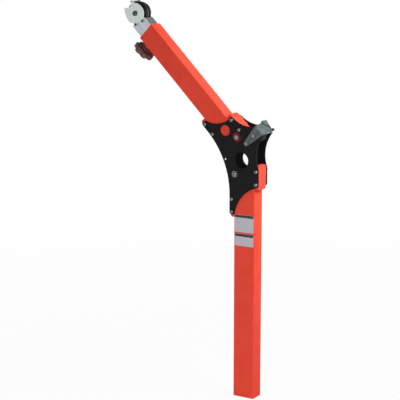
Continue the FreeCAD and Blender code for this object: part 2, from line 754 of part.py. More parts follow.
def sheave_pair(place, rim, recessed, along, up):
    """Two sheaves side by side, each with its bush, and the disc between them."""
    for side, sign in (("left", 1), ("right", -1)):
        middle = sheave_side * sign
        in_arm_frame(sheave(f"{place}_sheave_{side}", rim, recessed), along, up, middle)
        bush = tube_across(bush_thick, stop_thick + running_fit * 2, -bush_length / 2, bush_length, 0, 0)
        in_arm_frame(finish(f"{place}_bush_{side}", bush), along, up, middle)
    wide = (rim + divider_rim) * 2
    disc = tube_across(wide, axle_seat, -divider_thick / 2, divider_thick, 0, 0)
    in_arm_frame(finish(f"{place}_divider", disc), along, up)


def side_spacers(label, wall, along, up):
    """Two tubes on an axle, each from the bushes out to a wall."""
    spacers = []
    for start in (bush_face, -wall):
        spacers.append(tube_across(bush_thick, axle_seat, start, wall - bush_face, 0, 0))
    in_arm_frame(finish(label, joined(spacers)), along, up)


def knuckle_sheaves():
    sheave_pair("knuckle", knuckle_rim, False, knuckle_along, knuckle_axle_rise)
    side_spacers("knuckle_spacers", half_width, knuckle_along, knuckle_axle_rise)
    reach = plate_face + axle_tip
    finish("knuckle_axle", rod(stop_thick / 2, -reach, reach * 2, *knuckle_spot))
    clips = []
    for start in (plate_face, -plate_face - clip_thick):
        ring = tube_across(clip_wide, axle_seat, start, clip_thick, 0, 0)
        mouth = block(clip_wide, clip_thick, clip_mouth, 0, start, -clip_mouth / 2)
        clips.append(less(ring, [mouth]))
    in_arm_frame(finish("knuckle_clips", joined(clips)), knuckle_along, knuckle_axle_rise)


def on_fold(thing, up):
    """Turn an object so that its X runs back along the fold of the guard's tab."""
    turn = as_size(180) - tab_turn
    thing.Placement = FreeCAD.Placement(Vector(), FreeCAD.Rotation(Vector(0, 0, -1), turn.number))
    thing.setExpression("Placement.Rotation.Angle", turn.formula)
    seat(thing, guard_width / 2 + tab_ahead, -tab_side, up)
    return thing


def fold_end():
    """Rear end of the tab's fold: ahead of the guard's pivot, and to the right."""
    ahead = guard_width / 2 + tab_ahead - tab_fold * cosine(tab_turn)
    return ahead, tab_side + tab_fold * sine(tab_turn)


def lifting_tab(inside):
    """Part of the guard's right front corner beyond a slanting fold, bent up."""
    flap = body("tab_flap")
    points = [(0, 0), (tab_fold, 0), (tab_corner_along, tab_corner_out), (tab_nose_along, tab_nose_out)]
    pad(flap, outline(flap, "XY_Plane", points), guard_thick)
    flap.Placement = FreeCAD.Placement(Vector(), FreeCAD.Rotation(Vector(1, 0, 0), tab_bend.number))
    flap.setExpression("Placement.Rotation.Angle", tab_bend.formula)
    tab = doc.addObject("Part::Compound", "Tab")
    tab.Links = [flap]
    return on_fold(tab, inside)


def guard_sheet():
    """Bent U about its pivot: legs outside both plates, the web over the horn, and a lifting tab."""
    owner = body("guard_section")
    low = -guard_boss
    inside, outside = web_inside - pivot_rise, web_face - pivot_rise
    bend = guard_bend
    section = [(-leg_face, low), (-leg_inside, low), (-leg_inside, inside), (leg_inside, inside),
               (leg_inside, low), (leg_face, low), (leg_face, outside), (-leg_face, outside)]
    feature = pad(owner, outline(owner, "YZ_Plane", section), guard_width)
    corners = []
    for name in edges_along(feature.Shape, Vector(1, 0, 0)):
        corner = feature.Shape.getElement(name).Vertexes[0].Point
        if corner.z > inside.number + 0.01:
            corners.append(name)
    round_edges(owner, feature, corners, bend)
    seat(owner, -guard_width / 2, 0, 0)
    # the legs taper from the web down to a round end at the pivot
    shape = body("guard_outline")
    half = guard_width / 2
    over = outside + guard_thick
    taper = [(-guard_boss, 0), (guard_boss, 0), (half, inside - bend), (half, over),
             (-half, over), (-half, inside - bend)]
    pad(shape, outline(shape, "XZ_Plane", taper), leg_face * 2)
    seat(shape, 0, leg_face, 0)
    end = rod(guard_boss, -leg_face, leg_face * 2, 0, 0)
    tapered = doc.addObject("Part::Common", "Tapered")
    tapered.Base = owner
    tapered.Tool = joined([shape, end])
    # the web ends at the tab's fold, runs ahead to its front end and stands out over the right leg as a ledge
    corner = on_fold(block(tab_fold, guard_width, guard_thick * 2, 0, 0, 0), inside)
    front = half + tab_ahead
    fold_rear, fold_right = fold_end()
    web = body("guard_web")
    points = [(half, leg_inside - bend), (fold_rear - ledge, -leg_inside), (fold_rear - ledge, -fold_right),
              (fold_rear, -fold_right), (front, -tab_side)]
    pad(web, outline(web, "XY_Plane", points), guard_thick)
    seat(web, 0, 0, inside)
    sheet_parts = [less(tapered, [corner]), web, lifting_tab(inside)]
    bores = [rod(bolt_thick / 2 + running_fit, -leg_face, leg_face * 2, 0, 0)]
    detent_up = knuckle_axle_rise - pivot_rise
    bores.append(rod(detent_nose / 2 + seat_clearance, -leg_face, leg_face * 2, 0, detent_up))
    return less(joined(sheet_parts), bores)


def rope_guard():
    in_arm_frame(finish("rope_guard", guard_sheet()), knuckle_along, pivot_rise)
    detents = []
    axle_end = plate_face + axle_tip + guard_play
    up = knuckle_axle_rise - pivot_rise
    for head_start, nose_start in ((leg_face, axle_end), (-leg_face - detent_rise, -leg_face)):
        detents.append(rod(detent_head / 2, head_start, detent_rise, 0, up))
        detents.append(rod(detent_nose / 2, nose_start, leg_face - axle_end, 0, up))
    in_arm_frame(finish("guard_detents", joined(detents)), knuckle_along, pivot_rise)
    fold_rear, fold_right = fold_end()
    button = finish("guard_button", post(button_wide / 2, 0, button_rise))
    in_arm_frame(button, knuckle_along + fold_rear - button_back, web_face, button_in - fold_right)
    near_face = leg_face + guard_play
    washer_face = -near_face - washer_thick
    tail = washer_face - nut_rise - thread_tip
    finish("pivot_bolt", round_head_bolt(False, near_face, tail, *pivot_spot))
    finish("pivot_sleeve", tube_across(pivot_sleeve, bolt_bore, -half_width, tube_width, *pivot_spot))
    collars = []
    for start in (plate_face, -plate_face - guard_collar):
        collars.append(tube_across(pivot_sleeve, bolt_bore, start, guard_collar, *pivot_spot))
    finish("pivot_collars", joined(collars))
    finish("pivot_washer", tube_across(washer_wide, bolt_bore, washer_face, washer_thick, *pivot_spot))
    nut = nut_across_y(nut_across, bolt_nut_bore, washer_face - nut_rise, nut_rise, *pivot_spot)
    finish("pivot_nut", nut)


def cheek_screw_spots(start):
    """Along and up from a point of the arm's axis: one screw above the axis and one below."""
    upper = axle_along - screw_back - start
    return [(upper, screw_high), (upper + screw_step, -screw_low)]


def head_tube():
    length = head_overlap + head_front
    rear = arm_reach - head_overlap
    owner = hollow_tube("head_tube", "YZ_Plane", Vector(1, 0, 0), head_width, head_height, head_wall,
                        head_corner, length)
    inside = head_height / 2 - head_wall
    notch = rectangle(length - head_notch, inside, length + head_wall, head_height)
    pocket(owner, outline(owner, "XZ_Plane", notch))
    bore = screw_thick + bolt_clearance * 2
    pocket(owner, circles(owner, "XZ_Plane", [(spot, bore) for spot in cheek_screw_spots(rear)]))
    in_arm_frame(owner, rear)
    finish("head_tube", owner)


def keeper_spot():
    """Keeper pin just outside the sheaves' rims, in the ear's direction from the axle."""
    out = sheave_rim + keeper_gap + keeper_thick / 2
    return out * cosine(ear_angle), out * sine(ear_angle)


def cheek(label, side):
    """One cheek about the head axle: heel, chin and spur below, a round crown, an ear and two screw lugs."""
    owner = body(label)
    points = [(-heel_back, -heel_drop), (-sole_back, -sole_drop), (chin_forward, -chin_drop),
              (spur_forward, -spur_drop), (cheek_radius / 2, cheek_radius / 2), (-cheek_radius / 2, 0)]
    pad(owner, outline(owner, "XZ_Plane", points), cheek_thick)
    pad(owner, circles(owner, "XZ_Plane", [((0, 0), cheek_radius * 2)]), cheek_thick)
    ear = (ear_out * cosine(ear_angle), ear_out * sine(ear_angle))
    pad(owner, circles(owner, "XZ_Plane", [(ear, ear_radius * 2)]), cheek_thick)
    screws = [(along, up - axle_rise) for along, up in cheek_screw_spots(axle_along)]
    pad(owner, circles(owner, "XZ_Plane", [(spot, cheek_lug * 2) for spot in screws]), cheek_thick)
    pocket(owner, circles(owner, "XZ_Plane", [((brow_out, 0), brow_notch * 2)]))
    tool = [rod(axle_seat / 2, -cheek_thick, cheek_thick, 0, 0)]
    tool.append(rod(keeper_thick / 2 + seat_clearance, -cheek_thick, cheek_thick, *keeper_spot()))
    for spot in screws:
        tool.append(rod(screw_thick / 2 + bolt_clearance, -cheek_thick, cheek_thick, *spot))
    in_arm_frame(finish(label, less(owner, tool)), axle_along, axle_rise, side)


def head():
    head_tube()
    cheek("head_cheek_left", cheek_face)
    cheek("head_cheek_right", -cheek_inside)
    sheave_pair("head", sheave_rim, True, axle_along, axle_rise)
    side_spacers("head_spacers", cheek_inside, axle_along, axle_rise)
    nut_start = -cheek_face - washer_thick - axle_hex_rise
    tail = nut_start - thread_tip
    shank = rod(stop_thick / 2, tail, cheek_face - tail, 0, 0)
    axle = joined([shank, hexagon(axle_across, cheek_face, axle_head_rise, 0, 0)])
    in_arm_frame(finish("head_axle", axle), axle_along, axle_rise)
    nut = nut_across_y(axle_across, axle_nut_bore, nut_start, axle_hex_rise, 0, 0)
    in_arm_frame(finish("head_axle_nut", nut), axle_along, axle_rise)
    washer = tube_across(stop_washer, axle_bore, -cheek_face - washer_thick, washer_thick, 0, 0)
    in_arm_frame(finish("head_axle_washer", washer), axle_along, axle_rise)
    reach = cheek_face + keeper_tip
    along, up = keeper_spot()
    keeper = rod(keeper_thick / 2, -reach, reach * 2, *on_arm(axle_along + along, axle_rise + up))
    finish("head_keeper_pin", keeper)
    screws = []
    wall = cheek_inside - head_wall
    for along, up in cheek_screw_spots(axle_along):
        for head_start, shank_start in ((cheek_face, wall), (-cheek_face - screw_rise, -cheek_face)):
            shank = rod(screw_thick / 2, shank_start, cheek_face - wall, along, up)
            screws.append(joined([shank, rod(screw_head / 2, head_start, screw_rise, along, up)]))
    in_arm_frame(finish("cheek_screws", joined(screws)), axle_along)


def star_knob():
    """Star knob about Z: a thick disc with rounded rims and hollows between its lobes, a hub above it."""
    owner = body("knob_star")
    feature = pad(owner, circles(owner, "XY_Plane", [((0, 0), knob_radius * 2)]), knob_rise)
    rims = [f"Edge{number}" for number, edge in enumerate(feature.Shape.Edges, 1)
            if isinstance(edge.Curve, Part.Circle)]
    round_edges(owner, feature, rims, knob_round)
    first = pocket(owner, circles(owner, "XY_Plane", [((scallop_out, 0), scallop * 2)]))
    ring = owner.newObject("PartDesign::PolarPattern", "Ring")
    ring.Originals = [first]
    ring.Axis = (origin(owner, "Z_Axis"), [""])
    ring.Angle = 360
    bind(ring, Occurrences=lobes)
    owner.Tip = ring
    doc.recompute()
    hub = post(knob_hub / 2, knob_rise, knob_neck)
    hole = post(stud_thick / 2 + thread_clearance, knob_rise - stud_depth, stud_depth + knob_neck)
    return finish("lock_knob", less(joined([owner, hub]), [hole]))


def lock():
    """Clamping screw under the arm's tip: boss on the arm, thrust pad, stud and star knob."""
    boss = less(post(boss_wide / 2, -arm_top - boss_rise, boss_rise),
                [post(boss_bore / 2, -arm_top - boss_rise, boss_rise)])
    in_arm_frame(finish("lock_boss", boss), lock_along)
    pad_top = -head_height / 2 - pad_gap
    pad_foot = pad_top - pad_thick
    in_arm_frame(finish("lock_pad", post(pad_wide / 2, 0, pad_thick)), lock_along, pad_foot)
    star_top = -arm_top - boss_rise - knob_gap - knob_neck
    stud_foot = star_top - stud_depth
    in_arm_frame(finish("lock_stud", post(stud_thick / 2, 0, pad_foot - stud_foot)), lock_along, stud_foot)
    in_arm_frame(star_knob(), lock_along, star_top - knob_rise)


mast()
label_plates()
arm()
knuckle_plate("knuckle_plate_left", plate_face)
knuckle_plate("knuckle_plate_right", -half_width)
spacer_bars()
plate_bolts()
stop_bolt()
knuckle_sheaves()
rope_guard()
head()
lock()
doc.recompute()

for thing in doc.Objects:
    if "Invalid" in thing.State or "Error" in thing.State:
        raise RuntimeError(f"{thing.Label} did not recompute")
for label, thing in nodes.items():
    if thing.Shape.isNull() or not thing.Shape.isValid():
        raise RuntimeError(f"{label} has no valid shape")

os.makedirs("parts", exist_ok=True)
for label, thing in nodes.items():
    thing.Shape.exportStep(f"parts/{label}.step")
    box = thing.Shape.BoundBox
    low = f"{box.XMin:.1f} {box.YMin:.1f} {box.ZMin:.1f}"
    high = f"{box.XMax:.1f} {box.YMax:.1f} {box.ZMax:.1f}"
    print(f"{label}: {len(thing.Shape.Solids)} solid(s), {thing.Shape.Volume:.0f} mm3, from {low} to {high}")
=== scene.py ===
import json
import math

import bmesh
import bpy
from mathutils import Matrix, Vector

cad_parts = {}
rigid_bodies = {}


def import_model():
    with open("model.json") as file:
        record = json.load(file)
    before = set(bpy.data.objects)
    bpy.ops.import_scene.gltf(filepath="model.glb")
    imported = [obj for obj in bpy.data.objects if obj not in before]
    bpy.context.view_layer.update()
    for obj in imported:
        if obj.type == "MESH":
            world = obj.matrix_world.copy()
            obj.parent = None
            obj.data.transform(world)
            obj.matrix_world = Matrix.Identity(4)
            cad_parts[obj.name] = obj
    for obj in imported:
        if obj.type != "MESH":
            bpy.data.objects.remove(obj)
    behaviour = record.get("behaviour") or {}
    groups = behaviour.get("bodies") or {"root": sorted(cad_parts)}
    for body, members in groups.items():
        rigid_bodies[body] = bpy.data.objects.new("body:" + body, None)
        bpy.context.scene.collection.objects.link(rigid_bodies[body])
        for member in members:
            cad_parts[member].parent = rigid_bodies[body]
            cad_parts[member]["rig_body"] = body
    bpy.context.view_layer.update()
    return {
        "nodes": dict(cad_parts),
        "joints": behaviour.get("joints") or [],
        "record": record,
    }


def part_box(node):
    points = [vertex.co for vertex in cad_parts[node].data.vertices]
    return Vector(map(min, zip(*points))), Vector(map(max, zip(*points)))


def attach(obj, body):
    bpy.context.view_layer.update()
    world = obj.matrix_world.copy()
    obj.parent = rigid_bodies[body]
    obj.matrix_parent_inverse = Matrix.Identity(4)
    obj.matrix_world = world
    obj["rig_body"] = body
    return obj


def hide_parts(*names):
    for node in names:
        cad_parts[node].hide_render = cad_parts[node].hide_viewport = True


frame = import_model()

bl_info = {
    "name": "Davit Crane Finish",
    "version": (1, 0, 0),
    "blender": (4, 5, 0),
    "location": "View3D > Sidebar > Davit",
    "description": "Gives a davit crane its paint, plating, eased edges, threads, welds and a studio stage",
    "category": "Add Mesh",
}

MM = 0.001
NODES = frame["nodes"]
JOINTS = {joint["name"]: joint for joint in frame["joints"]}
SLOTS = {row["node"]: row["material_slot"] for row in frame["record"]["subparts"]}

# Directions and places that the frame gives
ARM_WAY = Vector(JOINTS["head_slide"]["axis"])
ARM_TILT = math.atan2(ARM_WAY.z, ARM_WAY.x)
LOCK_WAY = Vector(JOINTS["lock_knob_turn"]["axis"])
LOCK_SPOT = Vector(JOINTS["lock_knob_turn"]["pos_m"])
HEAD_AXLE = Vector(JOINTS["head_sheave_left_spin"]["pos_m"])
KNUCKLE_AXLE = Vector(JOINTS["knuckle_sheave_left_spin"]["pos_m"])

# Edges that bend more than this many degrees count as sharp; a turned piece's edges do so sooner
SHARP_BEND = 40
TURNED_BEND = 32

# Corners nearer than this are one corner, and faces that bend less than this many degrees are one flat face
MERGE_GAP = 0.002 * MM
FLAT_BEND = 0.6

# A fold in a sheet is an inward bend between these many degrees
FOLD_BEND = (8, 30)

WHITE = (1.0, 1.0, 1.0, 1.0)

# The photograph's view; the lens and sensor are in millimetres
VIEW_LENS = 117.0
VIEW_SENSOR = 36.0
VIEW_AIM = Vector((0.1921, 0.0398, 0.7709))
VIEW_AZIMUTH = math.radians(211.578)
VIEW_ELEVATION = math.radians(11.448)
VIEW_DISTANCE = 5.0411


def linear(code):
    """Linear RGBA of an sRGB hex colour."""
    parts = [int(code[start:start + 2], 16) / 255 for start in (1, 3, 5)]
    parts = [part / 12.92 if part <= 0.04045 else ((part + 0.055) / 1.055) ** 2.4 for part in parts]
    return (*parts, 1.0)


def length_property(name, description, default):
    return bpy.props.FloatProperty(name=name, description=description, default=default * MM, min=0.0,
                                   subtype="DISTANCE", unit="LENGTH", precision=5)


def colour_property(name, description, code):
    return bpy.props.FloatVectorProperty(name=name, description=description, default=linear(code), size=4,
                                         min=0.0, max=1.0, subtype="COLOR")


class DavitSizes(bpy.types.PropertyGroup):
    """Small sizes that the looks add to the crane."""

    plate_edge: length_property("Plate edge", "Eased edge of the knuckle plates", 0.9)
    tube_edge: length_property("Tube edge", "Eased ends of the mast and arm tubes and the spacer bars", 0.8)
    sheet_edge: length_property("Sheet edge", "Eased edge of the guard, cheeks, discs and head tube", 0.5)
    turned_edge: length_property("Turned edge", "Eased edge of turned and small steel pieces", 0.35)
    rim_edge: length_property("Rim edge", "Eased rims of the sheaves", 0.8)
    small_socket: length_property("Small socket", "Hex socket of a plate bolt, across flats", 5)
    large_socket: length_property("Large socket", "Hex socket of the stop bolt, across flats", 8)
    bolt_thick: length_property("Bolt thickness", "Shank of the plate bolts and the guard's pivot bolt", 8)
    bolt_rise: length_property("Bolt head rise", "Height of the pivot bolt's head", 4.4)
    bolt_pitch: length_property("Bolt pitch", "Thread pitch of the plate bolts", 1.25)
    stop_thick: length_property("Stop bolt thickness", "Shank of the stop bolt", 12)
    stop_pitch: length_property("Stop bolt pitch", "Thread pitch of the stop bolt", 1.75)
    stud_pitch: length_property("Stud pitch", "Thread pitch of the clamping stud", 2)
    screw_thick: length_property("Screw thickness", "Shank of the cheek screws", 6)
    screw_socket: length_property("Screw socket", "Hex socket of a cheek screw, across flats", 4)
    screw_pitch: length_property("Screw pitch", "Thread pitch of the cheek screws", 1)
    knob_grain: length_property("Knob grain", "Voxel that the moulded knob's edges are rounded with", 0.7)
    weld_bead: length_property("Weld bead", "Radius of the weld bead round the clamp boss", 2.4)
    label_corner: length_property("Label corner", "Corner radius of the label plates", 2.5)
    label_band: length_property("Label band", "Height of the dark band at the top of a label plate", 11)
    label_rim: length_property("Label rim", "Bare rim round the dark band", 0.8)


class DavitColours(bpy.types.PropertyGroup):
    """Colours of the crane's finishes."""

    red_deep: colour_property("Red, deep", "Vermilion powder coat where it is thick", "#DE3E2C")
    red_light: colour_property("Red, light", "Vermilion powder coat where it is thin", "#F05340")
    # Painted shade: this darker red fills the recess round the cross bolt's head, where its shadow falls.
    red_painted_shade: colour_property("Red, greased", "Vermilion powder coat under grease", "#7E2226")
    black_deep: colour_property("Black, deep", "Black powder coat in its pits", "#0E0C0D")
    black_light: colour_property("Black, light", "Black powder coat on its grain", "#1F1C1C")
    zinc_dark: colour_property("Zinc, dark", "Zinc plating in its shaded streaks", "#5C5D60")
    zinc_light: colour_property("Zinc, light", "Zinc plating in its bright streaks", "#87888B")
    guard_dark: colour_property("Guard, dark", "Guard sheet in its rolling streaks", "#1B222E")
    guard_light: colour_property("Guard, light", "Guard sheet between its streaks", "#6B7671")
    # Painted shade: this dark colour fills the crease of the guard's tab, where its shadow falls.
    guard_fold_shade: colour_property("Guard, fold", "Cracked zinc in the fold of the guard's tab", "#1E2422")
    head_dark: colour_property("Head, dark", "Anodised head tube in its drawing lines", "#85888C")
    head_light: colour_property("Head, light", "Anodised head tube between its lines", "#DDE2E8")
    cheek_dark: colour_property("Cheek, dark", "Zinc of the cheeks in its spangle", "#B8BFBD")
    cheek_light: colour_property("Cheek, light", "Zinc of the cheeks between its spangle", "#D6DBD8")
    nylon: colour_property("Nylon", "Black nylon of the sheaves", "#1A1A1B")
    bronze: colour_property("Bronze", "Sintered bronze bushes", "#B4864A")
    knob: colour_property("Knob", "Brown moulded knob", "#5C3E3B")
    foil: colour_property("Foil", "Silver of the label plates", "#B0AEB5")
    band: colour_property("Band", "Dark band of the label plates", "#1A1614")
    oxide: colour_property("Black oxide", "Blackened steel screws and clips", "#404445")
    floor: colour_property("Floor", "Studio floor", "#D8D8D8")


def add(tree, kind, sockets=None, **settings):
    """Adds a node with its settings; a socket's value is a number, another socket or a list of sockets."""
    made = tree.nodes.new(kind)
    for name, value in settings.items():
        setattr(made, name, value)
    for name, value in (sockets or {}).items():
        for source in value if isinstance(value, list) else [value]:
            if isinstance(source, bpy.types.NodeSocket):
                tree.links.new(source, made.inputs[name])
            else:
                made.inputs[name].default_value = source
    return made


def start(name, metallic=0.0, shine=0.5):
    """A new material with its shader and Object coordinates; metallic and shine are even all over."""
    material = bpy.data.materials.new(name)
    material.use_nodes = True
    tree = material.node_tree
    shader = tree.nodes["Principled BSDF"]
    shader.inputs["Metallic"].default_value = metallic
    shader.inputs["Specular IOR Level"].default_value = shine
    place = add(tree, "ShaderNodeTexCoord").outputs["Object"]
    return material, tree, shader, place


def patterned(tree, shader, pattern, dark, light, smooth, rough):
    """Colour and roughness that both follow one pattern."""
    tone = add(tree, "ShaderNodeMix", {0: pattern, 6: dark, 7: light}, data_type="RGBA", clamp_factor=True)
    tree.links.new(tone.outputs[2], shader.inputs["Base Color"])
    spread = add(tree, "ShaderNodeMapRange", {"Value": pattern, "To Min": smooth, "To Max": rough})
    tree.links.new(spread.outputs[0], shader.inputs["Roughness"])


def raised(tree, shader, height, depth, strength):
    """Bump of a real depth in metres."""
    bump = add(tree, "ShaderNodeBump", {"Height": height, "Distance": depth, "Strength": strength})
    tree.links.new(bump.outputs[0], shader.inputs["Normal"])


def shade_about_line(material, spot, way, near, far, shade_tone):
    """Painted shade about the line through a spot: the colour turns to the shade tone all within near of it,
    and keeps its own past far.
    """
    tree = material.node_tree
    tint = tree.nodes["Principled BSDF"].inputs["Base Color"]
    place = add(tree, "ShaderNodeTexCoord").outputs["Object"]
    turn = way.to_track_quat("X", "Z").to_euler()
    line = add(tree, "ShaderNodeMapping", {"Vector": place, "Location": spot, "Rotation": turn},
               vector_type="TEXTURE")
    across = add(tree, "ShaderNodeVectorMath", {0: line.outputs[0], 1: (0.0, 1.0, 1.0)},
                 operation="MULTIPLY")
    away = add(tree, "ShaderNodeVectorMath", {0: across.outputs[0]}, operation="LENGTH")
    unshaded = add(tree, "ShaderNodeMapRange",
                {"Value": away.outputs["Value"], "From Min": near, "From Max": far})
    sockets = {0: unshaded.outputs[0], 6: shade_tone, 7: tint.links[0].from_socket}
    tone = add(tree, "ShaderNodeMix", sockets, data_type="RGBA")
    tree.links.new(tone.outputs[2], tint)
    return material


def shade_of(colour, times):
    """A colour so many times as bright, at most full."""
    return (*(min(1.0, part * times) for part in colour[:3]), 1.0)


def powder_coat(name, dark, light, drift, peel, relief, smooth, rough, shine):
    """Baked powder coat: an even colour that drifts a little with its thickness, under orange peel."""
    material, tree, shader, place = start(name, shine=shine)
    slow = add(tree, "ShaderNodeTexNoise", {"Vector": place, "Scale": 1 / drift, "Detail": 3.0})
    patterned(tree, shader, slow.outputs[0], dark, light, smooth, rough)
    fine = add(tree, "ShaderNodeTexNoise", {"Vector": place, "Scale": 1 / peel, "Detail": 2.0})
    raised(tree, shader, fine.outputs[0], depth=0.4 * MM, strength=relief)
    return material


def red_powder_coat(paint):
    # Low-gloss vermilion, faintly pebbled, and darkened with painted shade in the hollow round the cross
    # bolt's head.
    # The real peel is 2 mm; it is drawn at 5 mm so that it shows.
    material = powder_coat("red_powder_coat", paint.red_deep, paint.red_light, drift=70 * MM, peel=5 * MM,
                           relief=0.6, smooth=0.62, rough=0.74, shine=0.12)
    low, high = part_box("arm_cross_bolt")
    return shade_about_line(material, (low + high) / 2, Vector((0.0, 1.0, 0.0)), near=14 * MM, far=19 * MM,
                   shade_tone=paint.red_painted_shade)


def black_powder_coat(paint):
    # Low-gloss black with a fine leathery grain, drawn at 3 mm where the real one is under 1 mm.
    return powder_coat("black_powder_coat", paint.black_deep, paint.black_light, drift=40 * MM, peel=3 * MM,
                       relief=0.7, smooth=0.62, rough=0.76, shine=0.1)


def streaked_metal(name, dark, light, turn, stretch, smooth, rough, metallic=1.0, shine=0.5):
    """Metal with fine streaks: stretch gives a streak's length, width and depth, turn its tilt about Y."""
    material, tree, shader, place = start(name, metallic=metallic, shine=shine)
    lined = add(tree, "ShaderNodeMapping",
                {"Vector": place, "Rotation": (0.0, turn, 0.0), "Scale": stretch}, vector_type="TEXTURE")
    streak = add(tree, "ShaderNodeTexNoise", {"Vector": lined.outputs[0], "Scale": 1.0, "Detail": 4.0})
    patterned(tree, shader, streak.outputs[0], dark, light, smooth, rough)
    raised(tree, shader, streak.outputs[0], depth=0.05 * MM, strength=0.3)
    return material


def bright_zinc(paint):
    # Barrel-plated fasteners: bluish silver with soft blotches about 4 mm across.
    blotch = (4 * MM, 4 * MM, 4 * MM)
    return streaked_metal("bright_zinc_plate", paint.zinc_dark, paint.zinc_light, turn=0.0, stretch=blotch,
                          smooth=0.28, rough=0.45)


def guard_zinc(paint):
    # Rolled and galvanised sheet: slate grey in bluish and greenish streaks, with painted shade darkening its
    # fold. The painted shade line is drawn at 5 mm so that it shows.
    streak = (8 * MM, 30 * MM, 60 * MM)
    material = streaked_metal("galvanised_sheet", paint.guard_dark, paint.guard_light, turn=-ARM_TILT,
                              stretch=streak, smooth=0.36, rough=0.5, metallic=0.15, shine=0.2)
    first, last = inner_fold("rope_guard")
    return shade_about_line(material, first, last - first, near=2.2 * MM, far=4.5 * MM, shade_tone=paint.guard_fold_shade)


def head_anodising(paint):
    # Drawn and anodised aluminium: cool silver with fine drawing lines along the tube.
    # The lines are well under 1 mm wide; they are drawn at 9 mm so that they show.
    line = (160 * MM, 9 * MM, 9 * MM)
    return streaked_metal("anodised_aluminium", paint.head_dark, paint.head_light, turn=-ARM_TILT,
                          stretch=line, smooth=0.3, rough=0.42, metallic=0.9)


def cheek_zinc(paint):
    # Laser-cut and zinc-plated sheet: pale greenish grey with a spangle of about 6 mm.
    material, tree, shader, place = start("spangled_zinc_sheet", metallic=0.8)
    spangle = add(tree, "ShaderNodeTexVoronoi", {"Vector": place, "Scale": 1 / (6 * MM)})
    grey = add(tree, "ShaderNodeRGBToBW", {"Color": spangle.outputs["Color"]})
    patterned(tree, shader, grey.outputs[0], paint.cheek_dark, paint.cheek_light, smooth=0.34, rough=0.46)
    return material


def turned_plastic(name, colour, centre):
    """Nylon turned on a lathe: fine rings about an axle along Y."""
    material, tree, shader, place = start(name, shine=0.35)
    shader.inputs["Base Color"].default_value = colour
    hub = add(tree, "ShaderNodeMapping", {"Vector": place, "Location": centre, "Scale": (MM, MM, MM)},
              vector_type="TEXTURE")
    # A wave of scale 1 repeats every 0.314 units, so 0.18 gives tool marks 1.75 mm apart.
    rings = add(tree, "ShaderNodeTexWave", {"Vector": hub.outputs[0], "Scale": 0.18, "Distortion": 0.4},
                wave_type="RINGS", rings_direction="Y")
    soft = add(tree, "ShaderNodeMapRange", {"Value": rings.outputs[1], "To Min": 0.36, "To Max": 0.52})
    tree.links.new(soft.outputs[0], shader.inputs["Roughness"])
    raised(tree, shader, rings.outputs[1], depth=0.08 * MM, strength=0.4)
    return material


def head_nylon(paint):
    # Black nylon wheels with faint lathe rings that catch the light.
    return turned_plastic("turned_nylon_head", paint.nylon, HEAD_AXLE)


def knuckle_nylon(paint):
    # The same nylon, with its rings about the knuckle axle.
    return turned_plastic("turned_nylon_knuckle", paint.nylon, KNUCKLE_AXLE)


def sintered_bronze(paint):
    # Pressed from powder: warm brown metal with dark open pores about 1 mm apart.
    material, tree, shader, place = start("sintered_bronze", metallic=1.0)
    pores = add(tree, "ShaderNodeTexVoronoi", {"Vector": place, "Scale": 1 / MM})
    dark = shade_of(paint.bronze, 0.6)
    patterned(tree, shader, pores.outputs[0], dark, paint.bronze, smooth=0.55, rough=0.38)
    return material


def moulded_plastic(name, colour, grain, smooth, rough):
    """Plastic from a spark-eroded mould: an even colour under a fine matt grain."""
    material, tree, shader, place = start(name, shine=0.4)
    speck = add(tree, "ShaderNodeTexNoise", {"Vector": place, "Scale": 1 / grain, "Detail": 2.0})
    patterned(tree, shader, speck.outputs[0], colour, shade_of(colour, 1.5), smooth, rough)
    raised(tree, shader, speck.outputs[0], depth=0.1 * MM, strength=0.3)
    return material


def knob_phenolic(paint):
    # Compression-moulded phenolic: dark brown and matt. Its fine grain is drawn at 2 mm so that it shows.
    return moulded_plastic("moulded_phenolic", paint.knob, grain=2 * MM, smooth=0.56, rough=0.7)


def plug_polyethylene(paint):
    # Injection-moulded polyethylene: black and waxy. Its fine grain is drawn at 3 mm so that it shows.
    return moulded_plastic("moulded_polyethylene", paint.nylon, grain=3 * MM, smooth=0.45, rough=0.6)


def label_foil(paint):
    # Matt silver polyester foil with a level brushed grain, drawn 2.5 mm wide so that it shows.
    grain = (14 * MM, 14 * MM, 2.5 * MM)
    return streaked_metal("matt_silver_foil", shade_of(paint.foil, 0.82), paint.foil, turn=0.0, stretch=grain,
                          smooth=0.42, rough=0.55, metallic=0.35)


def label_ink(paint):
    # Screen-printed black ink: flat, and slightly uneven in patches of about 4 mm.
    return moulded_plastic("printed_black_ink", paint.band, grain=4 * MM, smooth=0.5, rough=0.65)


def black_oxide(paint):
    # Oiled black oxide on steel: charcoal with a dull metal gleam, in blotches of about 5 mm.
    blotch = (5 * MM, 5 * MM, 5 * MM)
    return streaked_metal("black_oxide_steel", paint.oxide, shade_of(paint.oxide, 1.7), turn=0.0,
                          stretch=blotch, smooth=0.36, rough=0.55)


FINISHES = {
    "red_paint": red_powder_coat,
    "black_paint": black_powder_coat,
    "plated_steel": bright_zinc,
    "guard_steel": guard_zinc,
    "head_aluminium": head_anodising,
    "cheek_steel": cheek_zinc,
    "bush_bronze": sintered_bronze,
    "knob_plastic": knob_phenolic,
    "plug_plastic": plug_polyethylene,
    "label_foil": label_foil,
    "dark_steel": black_oxide,
}
made_finishes = {}


def finish_of(maker):
    """The material that a maker function gives, made once."""
    if maker not in made_finishes:
        made_finishes[maker] = maker(bpy.context.scene.davit_colours)
    return made_finishes[maker]


def slot_finish(name):
    """The material of a CAD node's slot in the record."""
    return finish_of(FINISHES[SLOTS[name]])


def repaint(name, material=None):
    """A CAD node that keeps its shape gets its material."""
    thing = NODES[name]
    thing.data.materials.clear()
    thing.data.materials.append(material or slot_finish(name))


